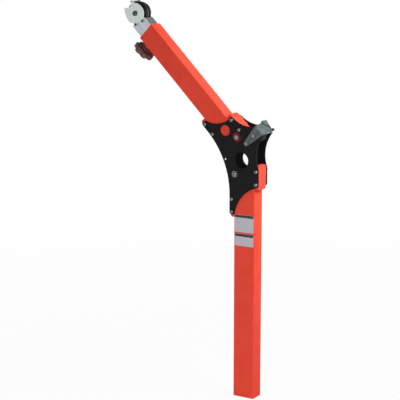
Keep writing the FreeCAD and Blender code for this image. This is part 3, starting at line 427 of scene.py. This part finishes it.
def linked(name, mesh):
    thing = bpy.data.objects.new(name, mesh)
    bpy.context.scene.collection.objects.link(thing)
    return thing


def settle(thing, *names, material=None):
    """The new piece stands for these CAD nodes and rides where the first one does."""
    if material is not None:
        thing.data.materials.clear()
        thing.data.materials.append(material)
    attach(thing, NODES[names[0]]["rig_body"])
    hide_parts(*names)
    return thing


def baked(thing):
    """The piece's modifiers become its plain mesh."""
    depsgraph = bpy.context.evaluated_depsgraph_get()
    plain = bpy.data.meshes.new_from_object(thing.evaluated_get(depsgraph))
    thing.modifiers.clear()
    rough = thing.data
    thing.data = plain
    bpy.data.meshes.remove(rough)
    plain.name = thing.name
    return thing


def merged_copy(name):
    """A CAD node's triangles, merged into one closed mesh with whole flat faces."""
    source = NODES[name].data
    mesh = bpy.data.meshes.new(name)
    mesh.from_pydata([v.co for v in source.vertices], [], [tuple(p.vertices) for p in source.polygons])
    shape = bmesh.new()
    shape.from_mesh(mesh)
    bmesh.ops.remove_doubles(shape, verts=shape.verts, dist=MERGE_GAP)
    flat = math.radians(FLAT_BEND)
    bmesh.ops.dissolve_limit(shape, angle_limit=flat, verts=shape.verts, edges=shape.edges)
    shape.to_mesh(mesh)
    shape.free()
    return mesh


def inner_fold(name):
    """Both ends of the longest slight inward bend of a CAD node."""
    mesh = merged_copy(name)
    shape = bmesh.new()
    shape.from_mesh(mesh)
    bpy.data.meshes.remove(mesh)
    folds = []
    least, most = FOLD_BEND
    for edge in shape.edges:
        if least < -math.degrees(edge.calc_face_angle_signed(0.0)) < most:
            ends = sorted((corner.co.copy() for corner in edge.verts), key=lambda spot: spot.y)
            folds.append((edge.calc_length(), ends))
    shape.free()
    return max(folds, key=lambda fold: fold[0])[1]


def eased(name, width, material=None):
    """A CAD node with its sharp outer edges eased, as a file or a tumbler leaves them."""
    mesh = merged_copy(name)
    mesh.shade_smooth()
    shape = bmesh.new()
    shape.from_mesh(mesh)
    worn = shape.edges.layers.float.new("bevel_weight_edge")
    for edge in shape.edges:
        bend = math.degrees(edge.calc_face_angle_signed(0.0))
        if bend > SHARP_BEND:
            edge[worn] = 1.0
        elif bend < -SHARP_BEND:
            # an inner corner stays crisp: no file reaches into it
            edge.smooth = False
    shape.to_mesh(mesh)
    shape.free()
    piece = linked(f"{name}_eased", mesh)
    ease = piece.modifiers.new("Ease", "BEVEL")
    ease.width = width
    ease.segments = 2
    ease.limit_method = "WEIGHT"
    ease.use_clamp_overlap = False
    ease.loop_slide = False
    even = piece.modifiers.new("Even", "WEIGHTED_NORMAL")
    even.weight = 80
    even.keep_sharp = True
    baked(piece)
    return settle(piece, name, material=material or slot_finish(name))


def solids_of(name):
    """Lowest and highest corner of each separate solid in a CAD node."""
    shape = bmesh.new()
    shape.from_mesh(NODES[name].data)
    bmesh.ops.remove_doubles(shape, verts=shape.verts, dist=MERGE_GAP)
    waiting = set(shape.verts)
    boxes = []
    while waiting:
        front = [waiting.pop()]
        group = []
        while front:
            corner = front.pop()
            group.append(corner.co.copy())
            for edge in corner.link_edges:
                other = edge.other_vert(corner)
                if other in waiting:
                    waiting.remove(other)
                    front.append(other)
        boxes.append((Vector(map(min, zip(*group))), Vector(map(max, zip(*group)))))
    shape.free()
    return sorted(boxes, key=lambda box: tuple(box[0]))


def turned(name, rings, steps=36, closed=False):
    """A piece turned about Y from rings of (radius, height, is it hexagonal).

    A hexagon's radius is the one to its flats.
    """
    shape = bmesh.new()
    loops = []
    for radius, height, hexagonal in rings:
        loop = []
        for step in range(steps):
            turn = 2 * math.pi * step / steps
            reach = radius / math.cos(turn % (math.pi / 3) - math.pi / 6) if hexagonal else radius
            loop.append(shape.verts.new((reach * math.cos(turn), height, reach * math.sin(turn))))
        loops.append(loop)
    pairs = list(zip(loops, loops[1:]))
    if closed:
        pairs.append((loops[-1], loops[0]))
    else:
        shape.faces.new(loops[0])
        shape.faces.new(loops[-1])
    for low, high in pairs:
        for step in range(steps):
            shape.faces.new((low[step], low[step - 1], high[step - 1], high[step]))
    bmesh.ops.recalc_face_normals(shape, faces=shape.faces)
    mesh = bpy.data.meshes.new(name)
    shape.to_mesh(mesh)
    shape.free()
    mesh.shade_smooth()
    mesh.set_sharp_from_angle(angle=math.radians(TURNED_BEND))
    return bpy.data.objects.new(name, mesh)


def socket_bolt(name, head, rise, thick, tail, socket, pitch, turns=6):
    """Button-head bolt with its seat at 0: a domed head with a hex socket, and a thread at its end."""
    radius, core = thick / 2, thick / 2 - 0.6 * pitch
    floor, mouth = rise - 0.6 * socket, rise - 0.05 * socket
    crown, lip, dome_steps = 0.34 * head, 0.12 * rise, 6
    rings = [(socket / 2, floor, True), (socket / 2, mouth, True), (socket * 0.56, rise, True),
             (crown, rise, False)]
    for step in range(1, dome_steps):
        lean = math.pi / 2 * step / dome_steps
        out = crown + (head / 2 - crown) * math.sin(lean)
        rings.append((out, lip + (rise - lip) * math.cos(lean), False))
    rings += [(head / 2, rise * 0.1, False), (head / 2 - 0.03 * head, 0.0, False), (radius, 0.0, False)]
    for turn in range(turns):
        height = tail + pitch * (turns - turn)
        rings += [(radius, height, False), (core, height - pitch / 2, False)]
    rings += [(radius * 0.95, tail + pitch * 0.3, False), (core, tail, False)]
    return turned(name, rings)


def hex_nut(name, across, bore, rise):
    """Nut below its seat at 0, with the corners of both faces turned off."""
    flat, round_off, inner = across / 2, across * 0.47, bore / 2
    rings = [(inner + 0.04 * across, 0.0, False), (round_off, 0.0, False), (flat, -0.1 * rise, True),
             (flat, -0.88 * rise, True), (round_off, -rise, False), (inner + 0.07 * across, -rise, False),
             (inner, -0.9 * rise, False), (inner, -0.08 * rise, False)]
    return turned(name, rings, closed=True)


def hex_bolt(name, across, rise, thick, tail, edge):
    """Bolt with its seat at 0: a hexagon head with its corners turned off, and a plain shank."""
    flat, radius = across / 2, thick / 2
    rings = [(flat * 0.92, rise, False), (flat, rise * 0.88, True), (flat, 0.0, True), (radius, 0.0, False),
             (radius, tail + edge, False), (radius - edge, tail, False)]
    return turned(name, rings, steps=72)


def washer(name, wide, bore, thick, edge):
    """Flat washer between 0 and its thickness, with its punched edge rolled over."""
    outer = wide / 2
    rings = [(bore / 2, 0.0, False), (outer - edge, 0.0, False), (outer, edge, False),
             (outer, thick - edge, False), (outer - edge, thick, False), (bore / 2, thick, False)]
    return turned(name, rings, closed=True)


def new_tree(name, **inputs):
    """A geometry tree with these named inputs; gives the tree and its input sockets by name."""
    tree = bpy.data.node_groups.new(name, "GeometryNodeTree")
    tree.interface.new_socket("Geometry", in_out="INPUT", socket_type="NodeSocketGeometry")
    for label, kind in inputs.items():
        tree.interface.new_socket(label.replace("_", " "), in_out="INPUT", socket_type=f"NodeSocket{kind}")
    tree.interface.new_socket("Geometry", in_out="OUTPUT", socket_type="NodeSocketGeometry")
    return tree, add(tree, "NodeGroupInput").outputs


def close_tree(tree, shape, material):
    """Ends a tree: real geometry in one material."""
    real = add(tree, "GeometryNodeRealizeInstances", {"Geometry": shape})
    painted = add(tree, "GeometryNodeSetMaterial", {"Geometry": real.outputs[0], "Material": material})
    add(tree, "NodeGroupOutput", {"Geometry": painted.outputs[0]})
    return tree


def fastener_tree():
    """One fastener at each point, each turned by its own chance angle about Y."""
    tree, given = new_tree("fasteners_at_points", Fastener="Object", Turn_seed="Int", Finish="Material")
    shape = add(tree, "GeometryNodeObjectInfo", {"Object": given["Fastener"], "As Instance": True})
    turn = add(tree, "FunctionNodeRandomValue", {3: math.pi / 3, "Seed": given["Turn seed"]})
    spin = add(tree, "ShaderNodeCombineXYZ", {"Y": turn.outputs[1]})
    sockets = {"Points": given["Geometry"], "Instance": shape.outputs["Geometry"],
               "Rotation": spin.outputs[0]}
    placed = add(tree, "GeometryNodeInstanceOnPoints", sockets)
    return close_tree(tree, placed.outputs[0], given["Finish"])


def thread_tree():
    """A screw thread about Z: a sharp ridge that winds round a core."""
    tree, given = new_tree("screw_thread", Radius="Float", Length="Float", Turns="Float", Ridge="Float",
                           Finish="Material")
    inner = add(tree, "ShaderNodeMath", {0: given["Radius"], 1: given["Ridge"]}, operation="SUBTRACT")
    spiral = add(tree, "GeometryNodeCurveSpiral",
                 {"Resolution": 28, "Rotations": given["Turns"], "Start Radius": inner.outputs[0],
                  "End Radius": inner.outputs[0], "Height": given["Length"]})
    upright = add(tree, "GeometryNodeSetCurveNormal", {"Curve": spiral.outputs[0]}, mode="Z_UP")
    diamond = add(tree, "GeometryNodeCurvePrimitiveCircle", {"Resolution": 4, "Radius": given["Ridge"]})
    ridge = add(tree, "GeometryNodeCurveToMesh",
                {"Curve": upright.outputs[0], "Profile Curve": diamond.outputs[0], "Fill Caps": True})
    core = add(tree, "GeometryNodeMeshCylinder",
               {"Vertices": 40, "Radius": inner.outputs[0], "Depth": given["Length"]})
    half = add(tree, "ShaderNodeMath", {0: given["Length"], 1: 0.5}, operation="MULTIPLY")
    lift = add(tree, "ShaderNodeCombineXYZ", {"Z": half.outputs[0]})
    raised_core = add(tree, "GeometryNodeSetPosition",
                      {"Geometry": core.outputs[0], "Offset": lift.outputs[0]})
    both = add(tree, "GeometryNodeJoinGeometry", {"Geometry": [raised_core.outputs[0], ridge.outputs[0]]})
    return close_tree(tree, both.outputs[0], given["Finish"])


def weld_tree():
    """A weld round a circle about Z: overlapping flattened drops, each a little different in size."""
    tree, given = new_tree("weld_ring", Radius="Float", Bead="Float", Drops="Int", Size_seed="Int",
                           Finish="Material")
    circle = add(tree, "GeometryNodeCurvePrimitiveCircle", {"Resolution": 96, "Radius": given["Radius"]})
    spots = add(tree, "GeometryNodeCurveToPoints", {"Curve": circle.outputs[0], "Count": given["Drops"]})
    drop = add(tree, "GeometryNodeMeshIcoSphere", {"Radius": given["Bead"], "Subdivisions": 2})
    size = add(tree, "FunctionNodeRandomValue", {2: 0.85, 3: 1.1, "Seed": given["Size seed"]})
    sockets = {"Points": spots.outputs["Points"], "Instance": drop.outputs[0],
               "Rotation": spots.outputs["Rotation"], "Scale": size.outputs[1]}
    placed = add(tree, "GeometryNodeInstanceOnPoints", sockets)
    return close_tree(tree, placed.outputs[0], given["Finish"])


def grown(name, tree, points, **amounts):
    """A new object whose mesh the tree makes from these points and named amounts."""
    mesh = bpy.data.meshes.new(name)
    mesh.from_pydata(points, [], [])
    thing = linked(name, mesh)
    growth = thing.modifiers.new("Growth", "NODES")
    growth.node_group = tree
    for item in tree.interface.items_tree:
        label = item.name.replace(" ", "_")
        if item.in_out == "INPUT" and label in amounts:
            growth[item.identifier] = amounts[label]
    return baked(thing)


def fastened(name, node, pattern, spots, seed):
    """The pattern piece at every spot, in place of a CAD node's plain ones."""
    tree = fastener_tree()
    material = slot_finish(node)
    piece = grown(name, tree, spots, Fastener=pattern, Turn_seed=seed, Finish=material)
    bpy.data.objects.remove(pattern)
    return settle(piece, node)


def spot_at(box, level):
    """The middle of a box, at a level along Y."""
    low, high = box
    return ((low.x + high.x) / 2, level, (low.z + high.z) / 2)


def reach_along(name, way):
    """How far a CAD node reaches along a direction, lowest and highest."""
    levels = [v.co.dot(way) for v in NODES[name].data.vertices]
    return min(levels), max(levels)


def lock_frame(level):
    """The frame whose Z is the clamping screw's axis, with its origin at a level along that axis."""
    turn = LOCK_WAY.to_track_quat("Z", "Y").to_matrix().to_4x4()
    centre = LOCK_SPOT + LOCK_WAY * (level - LOCK_SPOT.dot(LOCK_WAY))
    return Matrix.Translation(centre) @ turn


class DAVIT_OT_tubes(bpy.types.Operator):
    """Mast tube, arm tube and spacer bars in red powder coat, with eased ends"""

    bl_idname = "davit.tubes"
    bl_label = "Tubes and spacer bars"

    def execute(self, context):
        sizes = context.scene.davit_sizes
        for name in ("mast_tube", "arm_tube", "arm_upper_bar", "arm_lower_bar", "mast_rear_bar",
                     "mast_front_bar"):
            eased(name, sizes.tube_edge)
        repaint("mast_foot_plug")
        return {"FINISHED"}


class DAVIT_OT_knuckle_plates(bpy.types.Operator):
    """Both knuckle plates in black powder coat, with eased edges"""

    bl_idname = "davit.knuckle_plates"
    bl_label = "Knuckle plates"

    def execute(self, context):
        for name in ("knuckle_plate_left", "knuckle_plate_right"):
            eased(name, context.scene.davit_sizes.plate_edge)
        return {"FINISHED"}


class DAVIT_OT_label_plates(bpy.types.Operator):
    """Two bare silver label plates with round corners and a dark band at the top"""

    bl_idname = "davit.label_plates"
    bl_label = "Label plates"

    def execute(self, context):
        for name in ("label_plate_upper", "label_plate_lower"):
            self.plate(name, context.scene.davit_sizes)
        return {"FINISHED"}

    def plate(self, name, sizes):
        low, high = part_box(name)
        corner, steps = sizes.label_corner, 6
        shape = bmesh.new()
        rim = []
        spots = ((high.x, high.z, 0), (low.x, high.z, 1), (low.x, low.z, 2), (high.x, low.z, 3))
        for x, z, quarter in spots:
            outward = Vector((1 if quarter in (0, 3) else -1, 1 if quarter < 2 else -1))
            middle = Vector((x, z)) - corner * outward
            for step in range(steps + 1):
                turn = math.pi / 2 * (quarter + step / steps)
                rim.append(shape.verts.new((middle.x + corner * math.cos(turn), low.y,
                                            middle.y + corner * math.sin(turn))))
        face = shape.faces.new(rim)
        pulled = bmesh.ops.extrude_face_region(shape, geom=[face])["geom"]
        front = [item for item in pulled if isinstance(item, bmesh.types.BMVert)]
        bmesh.ops.translate(shape, verts=front, vec=(0.0, high.y - low.y, 0.0))
        band_foot, band_top = high.z - sizes.label_band, high.z - sizes.label_rim
        left, right = low.x + sizes.label_rim, high.x - sizes.label_rim
        cuts = [((0, 0, band_foot), (0, 0, 1)), ((0, 0, band_top), (0, 0, 1)), ((left, 0, 0), (1, 0, 0)),
                ((right, 0, 0), (1, 0, 0))]
        for spot, way in cuts:
            everything = [*shape.verts, *shape.edges, *shape.faces]
            bmesh.ops.bisect_plane(shape, geom=everything, plane_co=spot, plane_no=way, dist=0.001 * MM)
        bmesh.ops.recalc_face_normals(shape, faces=shape.faces)
        for face in shape.faces:
            spot = face.calc_center_median()
            inside = left < spot.x < right and band_foot < spot.z < band_top
            face.material_index = 1 if inside and face.normal.y > 0.5 else 0
        mesh = bpy.data.meshes.new(name)
        shape.to_mesh(mesh)
        shape.free()
        mesh.materials.append(slot_finish(name))
        mesh.materials.append(finish_of(label_ink))
        settle(linked(f"{name}_foil", mesh), name)


class DAVIT_OT_plate_fasteners(bpy.types.Operator):
    """Socket bolts, washers and nuts that hold the knuckle plates to the spacer bars"""

    bl_idname = "davit.plate_fasteners"
    bl_label = "Plate bolts, washers and nuts"

    def execute(self, context):
        sizes = context.scene.davit_sizes
        bolts = solids_of("plate_bolts")
        nuts = solids_of("plate_nuts")
        washers = solids_of("plate_washers")
        plate_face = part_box("knuckle_plate_left")[1].y
        low, high = bolts[0]
        rise = high.y - plate_face
        tail = low.y - plate_face
        thick = sizes.bolt_thick
        pattern = socket_bolt("plate_bolt", high.x - low.x, rise, thick, tail, sizes.small_socket,
                              sizes.bolt_pitch)
        spots = [spot_at(box, plate_face) for box in bolts]
        fastened("plate_bolts_socket_head", "plate_bolts", pattern, spots, seed=3)
        low, high = nuts[0]
        across = min(high.x - low.x, high.z - low.z)
        pattern = hex_nut("plate_nut", across, thick, high.y - low.y)
        spots = [spot_at(box, box[1].y) for box in nuts]
        fastened("plate_nuts_chamfered", "plate_nuts", pattern, spots, seed=5)
        low, high = washers[0]
        pattern = washer("plate_washer", high.x - low.x, thick, high.y - low.y, sizes.turned_edge)
        spots = [spot_at(box, box[0].y) for box in washers]
        fastened("plate_washers_rolled", "plate_washers", pattern, spots, seed=7)
        return {"FINISHED"}


class DAVIT_OT_large_fasteners(bpy.types.Operator):
    """Stop bolt, cross bolt, guard pivot and knuckle axle with their nuts, washers and spacers"""

    bl_idname = "davit.large_fasteners"
    bl_label = "Large fasteners"

    def execute(self, context):
        sizes = context.scene.davit_sizes
        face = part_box("stop_washers")[1].y
        low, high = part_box("stop_bolt")
        pattern = socket_bolt("stop_pattern", high.x - low.x, high.y - face, sizes.stop_thick, low.y - face,
                              sizes.large_socket, sizes.stop_pitch)
        spots = [spot_at((low, high), face)]
        fastened("stop_bolt_socket_head", "stop_bolt", pattern, spots, seed=11)
        low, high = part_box("pivot_bolt")
        face = high.y - sizes.bolt_rise
        pattern = socket_bolt("pivot_pattern", high.x - low.x, sizes.bolt_rise, sizes.bolt_thick,
                              low.y - face, sizes.small_socket, sizes.bolt_pitch)
        spots = [spot_at((low, high), face)]
        fastened("pivot_bolt_socket_head", "pivot_bolt", pattern, spots, seed=13)
        for name in ("stop_nut", "stop_washers", "stop_spacer", "arm_cross_bolt", "arm_cross_nut",
                     "knuckle_axle", "pivot_nut", "pivot_washer", "pivot_collars"):
            eased(name, sizes.turned_edge)
        for name in ("arm_cross_sleeve", "pivot_sleeve", "knuckle_spacers", "knuckle_clips"):
            repaint(name)
        return {"FINISHED"}


class DAVIT_OT_rope_guard(bpy.types.Operator):
    """Bent rope guard of galvanised sheet, with its detents and stop button"""

    bl_idname = "davit.rope_guard"
    bl_label = "Rope guard"

    def execute(self, context):
        sizes = context.scene.davit_sizes
        eased("rope_guard", sizes.sheet_edge)
        eased("guard_detents", sizes.turned_edge)
        eased("guard_button", sizes.turned_edge)
        return {"FINISHED"}


class DAVIT_OT_sheaves(bpy.types.Operator):
    """Four nylon sheaves with bronze bushes and the discs between them"""

    bl_idname = "davit.sheaves"
    bl_label = "Sheaves"

    def execute(self, context):
        sizes = context.scene.davit_sizes
        for place, maker in (("head", head_nylon), ("knuckle", knuckle_nylon)):
            for side in ("left", "right"):
                eased(f"{place}_sheave_{side}", sizes.rim_edge, finish_of(maker))
                repaint(f"{place}_bush_{side}")
            eased(f"{place}_divider", sizes.sheet_edge)
        return {"FINISHED"}


class DAVIT_OT_head(bpy.types.Operator):
    """Sliding head tube, its cheeks, axle, keeper pin and screws"""

    bl_idname = "davit.head"
    bl_label = "Head"

    def execute(self, context):
        sizes = context.scene.davit_sizes
        for name in ("head_tube", "head_cheek_left", "head_cheek_right"):
            eased(name, sizes.sheet_edge)
        for name in ("head_axle_nut", "head_axle_washer", "head_keeper_pin"):
            eased(name, sizes.turned_edge)
        repaint("head_spacers")
        self.axle(sizes)
        self.screws(sizes)
        return {"FINISHED"}

    def axle(self, sizes):
        """The axle bolt, with its hexagon turned as the CAD's is."""
        corners = [v.co - HEAD_AXLE for v in NODES["head_axle"].data.vertices]
        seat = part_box("head_cheek_left")[1].y
        low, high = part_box("head_axle")
        far = max(corners, key=lambda spot: math.hypot(spot.x, spot.z))
        across = 2 * math.hypot(far.x, far.z) * math.cos(math.pi / 6)
        end = [math.hypot(spot.x, spot.z) for spot in corners if spot.y < low.y + MM]
        bolt = hex_bolt("head_axle_chamfered", across, high.y - seat, 2 * max(end), low.y - seat,
                        sizes.turned_edge)
        turn = Matrix.Rotation(-math.atan2(far.z, far.x), 4, "Y")
        bolt.data.transform(Matrix.Translation((HEAD_AXLE.x, seat, HEAD_AXLE.z)) @ turn)
        bpy.context.scene.collection.objects.link(bolt)
        settle(bolt, "head_axle", material=slot_finish("head_axle"))

    def screws(self, sizes):
        """Socket screws in both cheeks; each far one is the near one turned about."""
        near = [box for box in solids_of("cheek_screws") if box[1].y > 0]
        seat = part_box("head_cheek_left")[1].y
        low, high = near[0]
        pattern = socket_bolt("cheek_screw", high.x - low.x, high.y - seat, sizes.screw_thick, low.y - seat,
                              sizes.screw_socket, sizes.screw_pitch, turns=4)
        shape = bmesh.new()
        shape.from_mesh(pattern.data)
        about = Matrix.Translation((0, -2 * seat, 0)) @ Matrix.Rotation(math.pi, 4, "Z")
        pattern.data.transform(about)
        shape.from_mesh(pattern.data)
        shape.to_mesh(pattern.data)
        shape.free()
        spots = [spot_at(box, seat) for box in near]
        fastened("cheek_screws_socket_head", "cheek_screws", pattern, spots, seed=17)


class DAVIT_OT_clamp(bpy.types.Operator):
    """Welded boss, threaded stud, thrust pad and moulded star knob"""

    bl_idname = "davit.clamp"
    bl_label = "Clamping screw"

    def execute(self, context):
        sizes = context.scene.davit_sizes
        eased("lock_boss", sizes.turned_edge)
        eased("lock_pad", sizes.turned_edge)
        self.weld(sizes)
        self.stud(sizes)
        self.knob(sizes)
        return {"FINISHED"}

    def weld(self, sizes):
        """A ring of weld where the boss meets the arm, under the same paint."""
        foot = reach_along("lock_boss", LOCK_WAY)[0]
        low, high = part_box("lock_boss")
        radius = (high.y - low.y) / 2 + 0.2 * sizes.weld_bead
        drops = round(2 * math.pi * radius / (0.75 * sizes.weld_bead))
        bead = grown("lock_boss_weld", weld_tree(), [(0.0, 0.0, 0.0)], Radius=radius, Bead=sizes.weld_bead,
                     Drops=drops, Size_seed=4, Finish=slot_finish("lock_boss"))
        bead.data.transform(lock_frame(foot + 0.15 * sizes.weld_bead))
        bead.data.shade_smooth()
        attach(bead, NODES["lock_boss"]["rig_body"])

    def stud(self, sizes):
        """The clamping stud with its thread cut."""
        foot, top = reach_along("lock_stud", LOCK_WAY)
        low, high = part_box("lock_stud")
        ridge = 0.42 * sizes.stud_pitch
        length = top - foot - 2 * ridge
        stud = grown("lock_stud_thread", thread_tree(), [(0.0, 0.0, 0.0)], Radius=(high.y - low.y) / 2,
                     Length=length, Turns=length / sizes.stud_pitch, Ridge=ridge,
                     Finish=slot_finish("lock_stud"))
        stud.data.transform(lock_frame(foot + ridge))
        stud.data.shade_smooth()
        stud.data.set_sharp_from_angle(angle=math.radians(SHARP_BEND))
        settle(stud, "lock_stud")

    def knob(self, sizes):
        """The star knob with every edge rounded, as it leaves its mould."""
        upright = lock_frame(0.0)
        mesh = merged_copy("lock_knob")
        mesh.transform(upright.inverted())
        piece = linked("lock_knob_moulded", mesh)
        grain = piece.modifiers.new("Grain", "REMESH")
        grain.mode = "VOXEL"
        grain.voxel_size = sizes.knob_grain
        grain.use_smooth_shade = True
        flow = piece.modifiers.new("Flow", "SMOOTH")
        flow.factor = 0.5
        flow.iterations = 10
        baked(piece)
        piece.data.transform(upright)
        settle(piece, "lock_knob", material=slot_finish("lock_knob"))


class DAVIT_OT_stage(bpy.types.Operator):
    """White studio: floor, world, soft lamps and the photograph's camera"""

    bl_idname = "davit.stage"
    bl_label = "Studio stage"

    def execute(self, context):
        scene = context.scene
        scene.view_settings.view_transform = "Standard"
        self.floor(scene)
        self.world(scene)
        self.lamp("key_lamp", spot=(-1.05, -0.1, 1.75), aim=(0.0, 0.0, 1.0), wide=1.0, power=34.0)
        self.lamp("fill_lamp", spot=(0.15, 2.4, 0.35), aim=(0.1, 0.0, 0.35), wide=1.0, power=21.5)
        self.camera(scene)
        return {"FINISHED"}

    def seen(self, tree):
        """1 for rays that show the background: straight, in gloss or through glass."""
        rays = add(tree, "ShaderNodeLightPath").outputs
        mirrored = add(tree, "ShaderNodeMath", {0: rays["Is Camera Ray"], 1: rays["Is Glossy Ray"]},
                       operation="ADD")
        every = add(tree, "ShaderNodeMath", {0: mirrored.outputs[0], 1: rays["Is Transmission Ray"]},
                    operation="ADD", use_clamp=True)
        return every.outputs[0]

    def floor(self, scene):
        half, sink = 9.0, 0.2 * MM
        mesh = bpy.data.meshes.new("floor")
        corners = [(-half, -half), (half, -half), (half, half), (-half, half)]
        mesh.from_pydata([(x, y, -sink) for x, y in corners], [], [(0, 1, 2, 3)])
        floor = linked("floor", mesh)
        material = bpy.data.materials.new("white_studio_floor")
        material.use_nodes = True
        tree = material.node_tree
        tree.nodes.clear()
        matt = add(tree, "ShaderNodeBsdfDiffuse", {"Color": scene.davit_colours.floor})
        glow = add(tree, "ShaderNodeEmission", {"Color": WHITE, "Strength": 1.0})
        # What the camera sees is mostly plain white. The rest keeps the crane's soft shadow,
        # and the rim is all white.
        place = add(tree, "ShaderNodeTexCoord").outputs["Object"]
        away = add(tree, "ShaderNodeVectorMath", {0: place}, operation="LENGTH")
        white = add(tree, "ShaderNodeMapRange",
                    {"Value": away.outputs["Value"], "From Min": 0.6, "From Max": 3.5, "To Min": 0.95,
                     "To Max": 1.0})
        share = add(tree, "ShaderNodeMath", {0: self.seen(tree), 1: white.outputs[0]}, operation="MULTIPLY")
        both = add(tree, "ShaderNodeMixShader",
                   {0: share.outputs[0], 1: matt.outputs[0], 2: glow.outputs[0]})
        add(tree, "ShaderNodeOutputMaterial", {"Surface": both.outputs[0]})
        mesh.materials.append(material)

    def world(self, scene):
        world = bpy.data.worlds.new("white_studio")
        world.use_nodes = True
        tree = world.node_tree
        tree.nodes.clear()
        soft = add(tree, "ShaderNodeBackground", {"Color": WHITE, "Strength": 0.35})
        # Gloss sees the white walls and a dark ceiling above them; the camera sees plain white all round.
        way = add(tree, "ShaderNodeSeparateXYZ", {0: add(tree, "ShaderNodeTexCoord").outputs["Generated"]})
        walls = add(tree, "ShaderNodeMapRange",
                    {"Value": way.outputs["Z"], "From Min": 0.2, "From Max": 0.5, "To Min": 1.0,
                     "To Max": 0.15})
        camera = add(tree, "ShaderNodeLightPath").outputs["Is Camera Ray"]
        level = add(tree, "ShaderNodeMath", {0: camera, 1: walls.outputs[0]}, operation="MAXIMUM")
        white = add(tree, "ShaderNodeBackground", {"Color": WHITE, "Strength": level.outputs[0]})
        both = add(tree, "ShaderNodeMixShader",
                   {0: self.seen(tree), 1: soft.outputs[0], 2: white.outputs[0]})
        add(tree, "ShaderNodeOutputWorld", {"Surface": both.outputs[0]})
        scene.world = world

    def lamp(self, name, spot, aim, wide, power):
        """A square soft lamp that shines from one spot to another."""
        data = bpy.data.lights.new(name, "AREA")
        data.size = wide
        data.energy = power
        lamp = linked(name, data)
        lamp.visible_camera = False
        lamp.location = spot
        lamp.rotation_mode = "QUATERNION"
        lamp.rotation_quaternion = (Vector(aim) - Vector(spot)).to_track_quat("-Z", "Y")

    def camera(self, scene):
        data = bpy.data.cameras.new("view")
        data.lens = VIEW_LENS
        data.sensor_width = VIEW_SENSOR
        camera = linked("view", data)
        back = Vector((math.sin(VIEW_AZIMUTH) * math.cos(VIEW_ELEVATION),
                       -math.cos(VIEW_AZIMUTH) * math.cos(VIEW_ELEVATION), math.sin(VIEW_ELEVATION)))
        camera.location = VIEW_AIM + back * VIEW_DISTANCE
        camera.rotation_mode = "QUATERNION"
        camera.rotation_quaternion = (-back).to_track_quat("-Z", "Y")
        scene.camera = camera


STEPS = (DAVIT_OT_tubes, DAVIT_OT_knuckle_plates, DAVIT_OT_label_plates, DAVIT_OT_plate_fasteners,
         DAVIT_OT_large_fasteners, DAVIT_OT_rope_guard, DAVIT_OT_sheaves, DAVIT_OT_head, DAVIT_OT_clamp,
         DAVIT_OT_stage)


class DAVIT_PT_panel(bpy.types.Panel):
    """Lists the crane's sizes, colours and steps."""

    bl_idname = "DAVIT_PT_panel"
    bl_label = "Davit crane"
    bl_space_type = "VIEW_3D"
    bl_region_type = "UI"
    bl_category = "Davit"

    def draw(self, context):
        for group in (context.scene.davit_sizes, context.scene.davit_colours):
            box = self.layout.box()
            for name in group.__annotations__:
                box.prop(group, name)
        for step in STEPS:
            self.layout.operator(step.bl_idname)


CLASSES = (DavitSizes, DavitColours, *STEPS, DAVIT_PT_panel)


def register():
    for item in CLASSES:
        bpy.utils.register_class(item)
    bpy.types.Scene.davit_sizes = bpy.props.PointerProperty(type=DavitSizes)
    bpy.types.Scene.davit_colours = bpy.props.PointerProperty(type=DavitColours)


def unregister():
    del bpy.types.Scene.davit_colours
    del bpy.types.Scene.davit_sizes
    for item in reversed(CLASSES):
        bpy.utils.unregister_class(item)


def main():
    register()
    bpy.ops.davit.tubes()
    bpy.ops.davit.knuckle_plates()
    bpy.ops.davit.label_plates()
    bpy.ops.davit.plate_fasteners()
    bpy.ops.davit.large_fasteners()
    bpy.ops.davit.rope_guard()
    bpy.ops.davit.sheaves()
    bpy.ops.davit.head()
    bpy.ops.davit.clamp()
    bpy.ops.davit.stage()


if __name__ == "__main__":
    main()
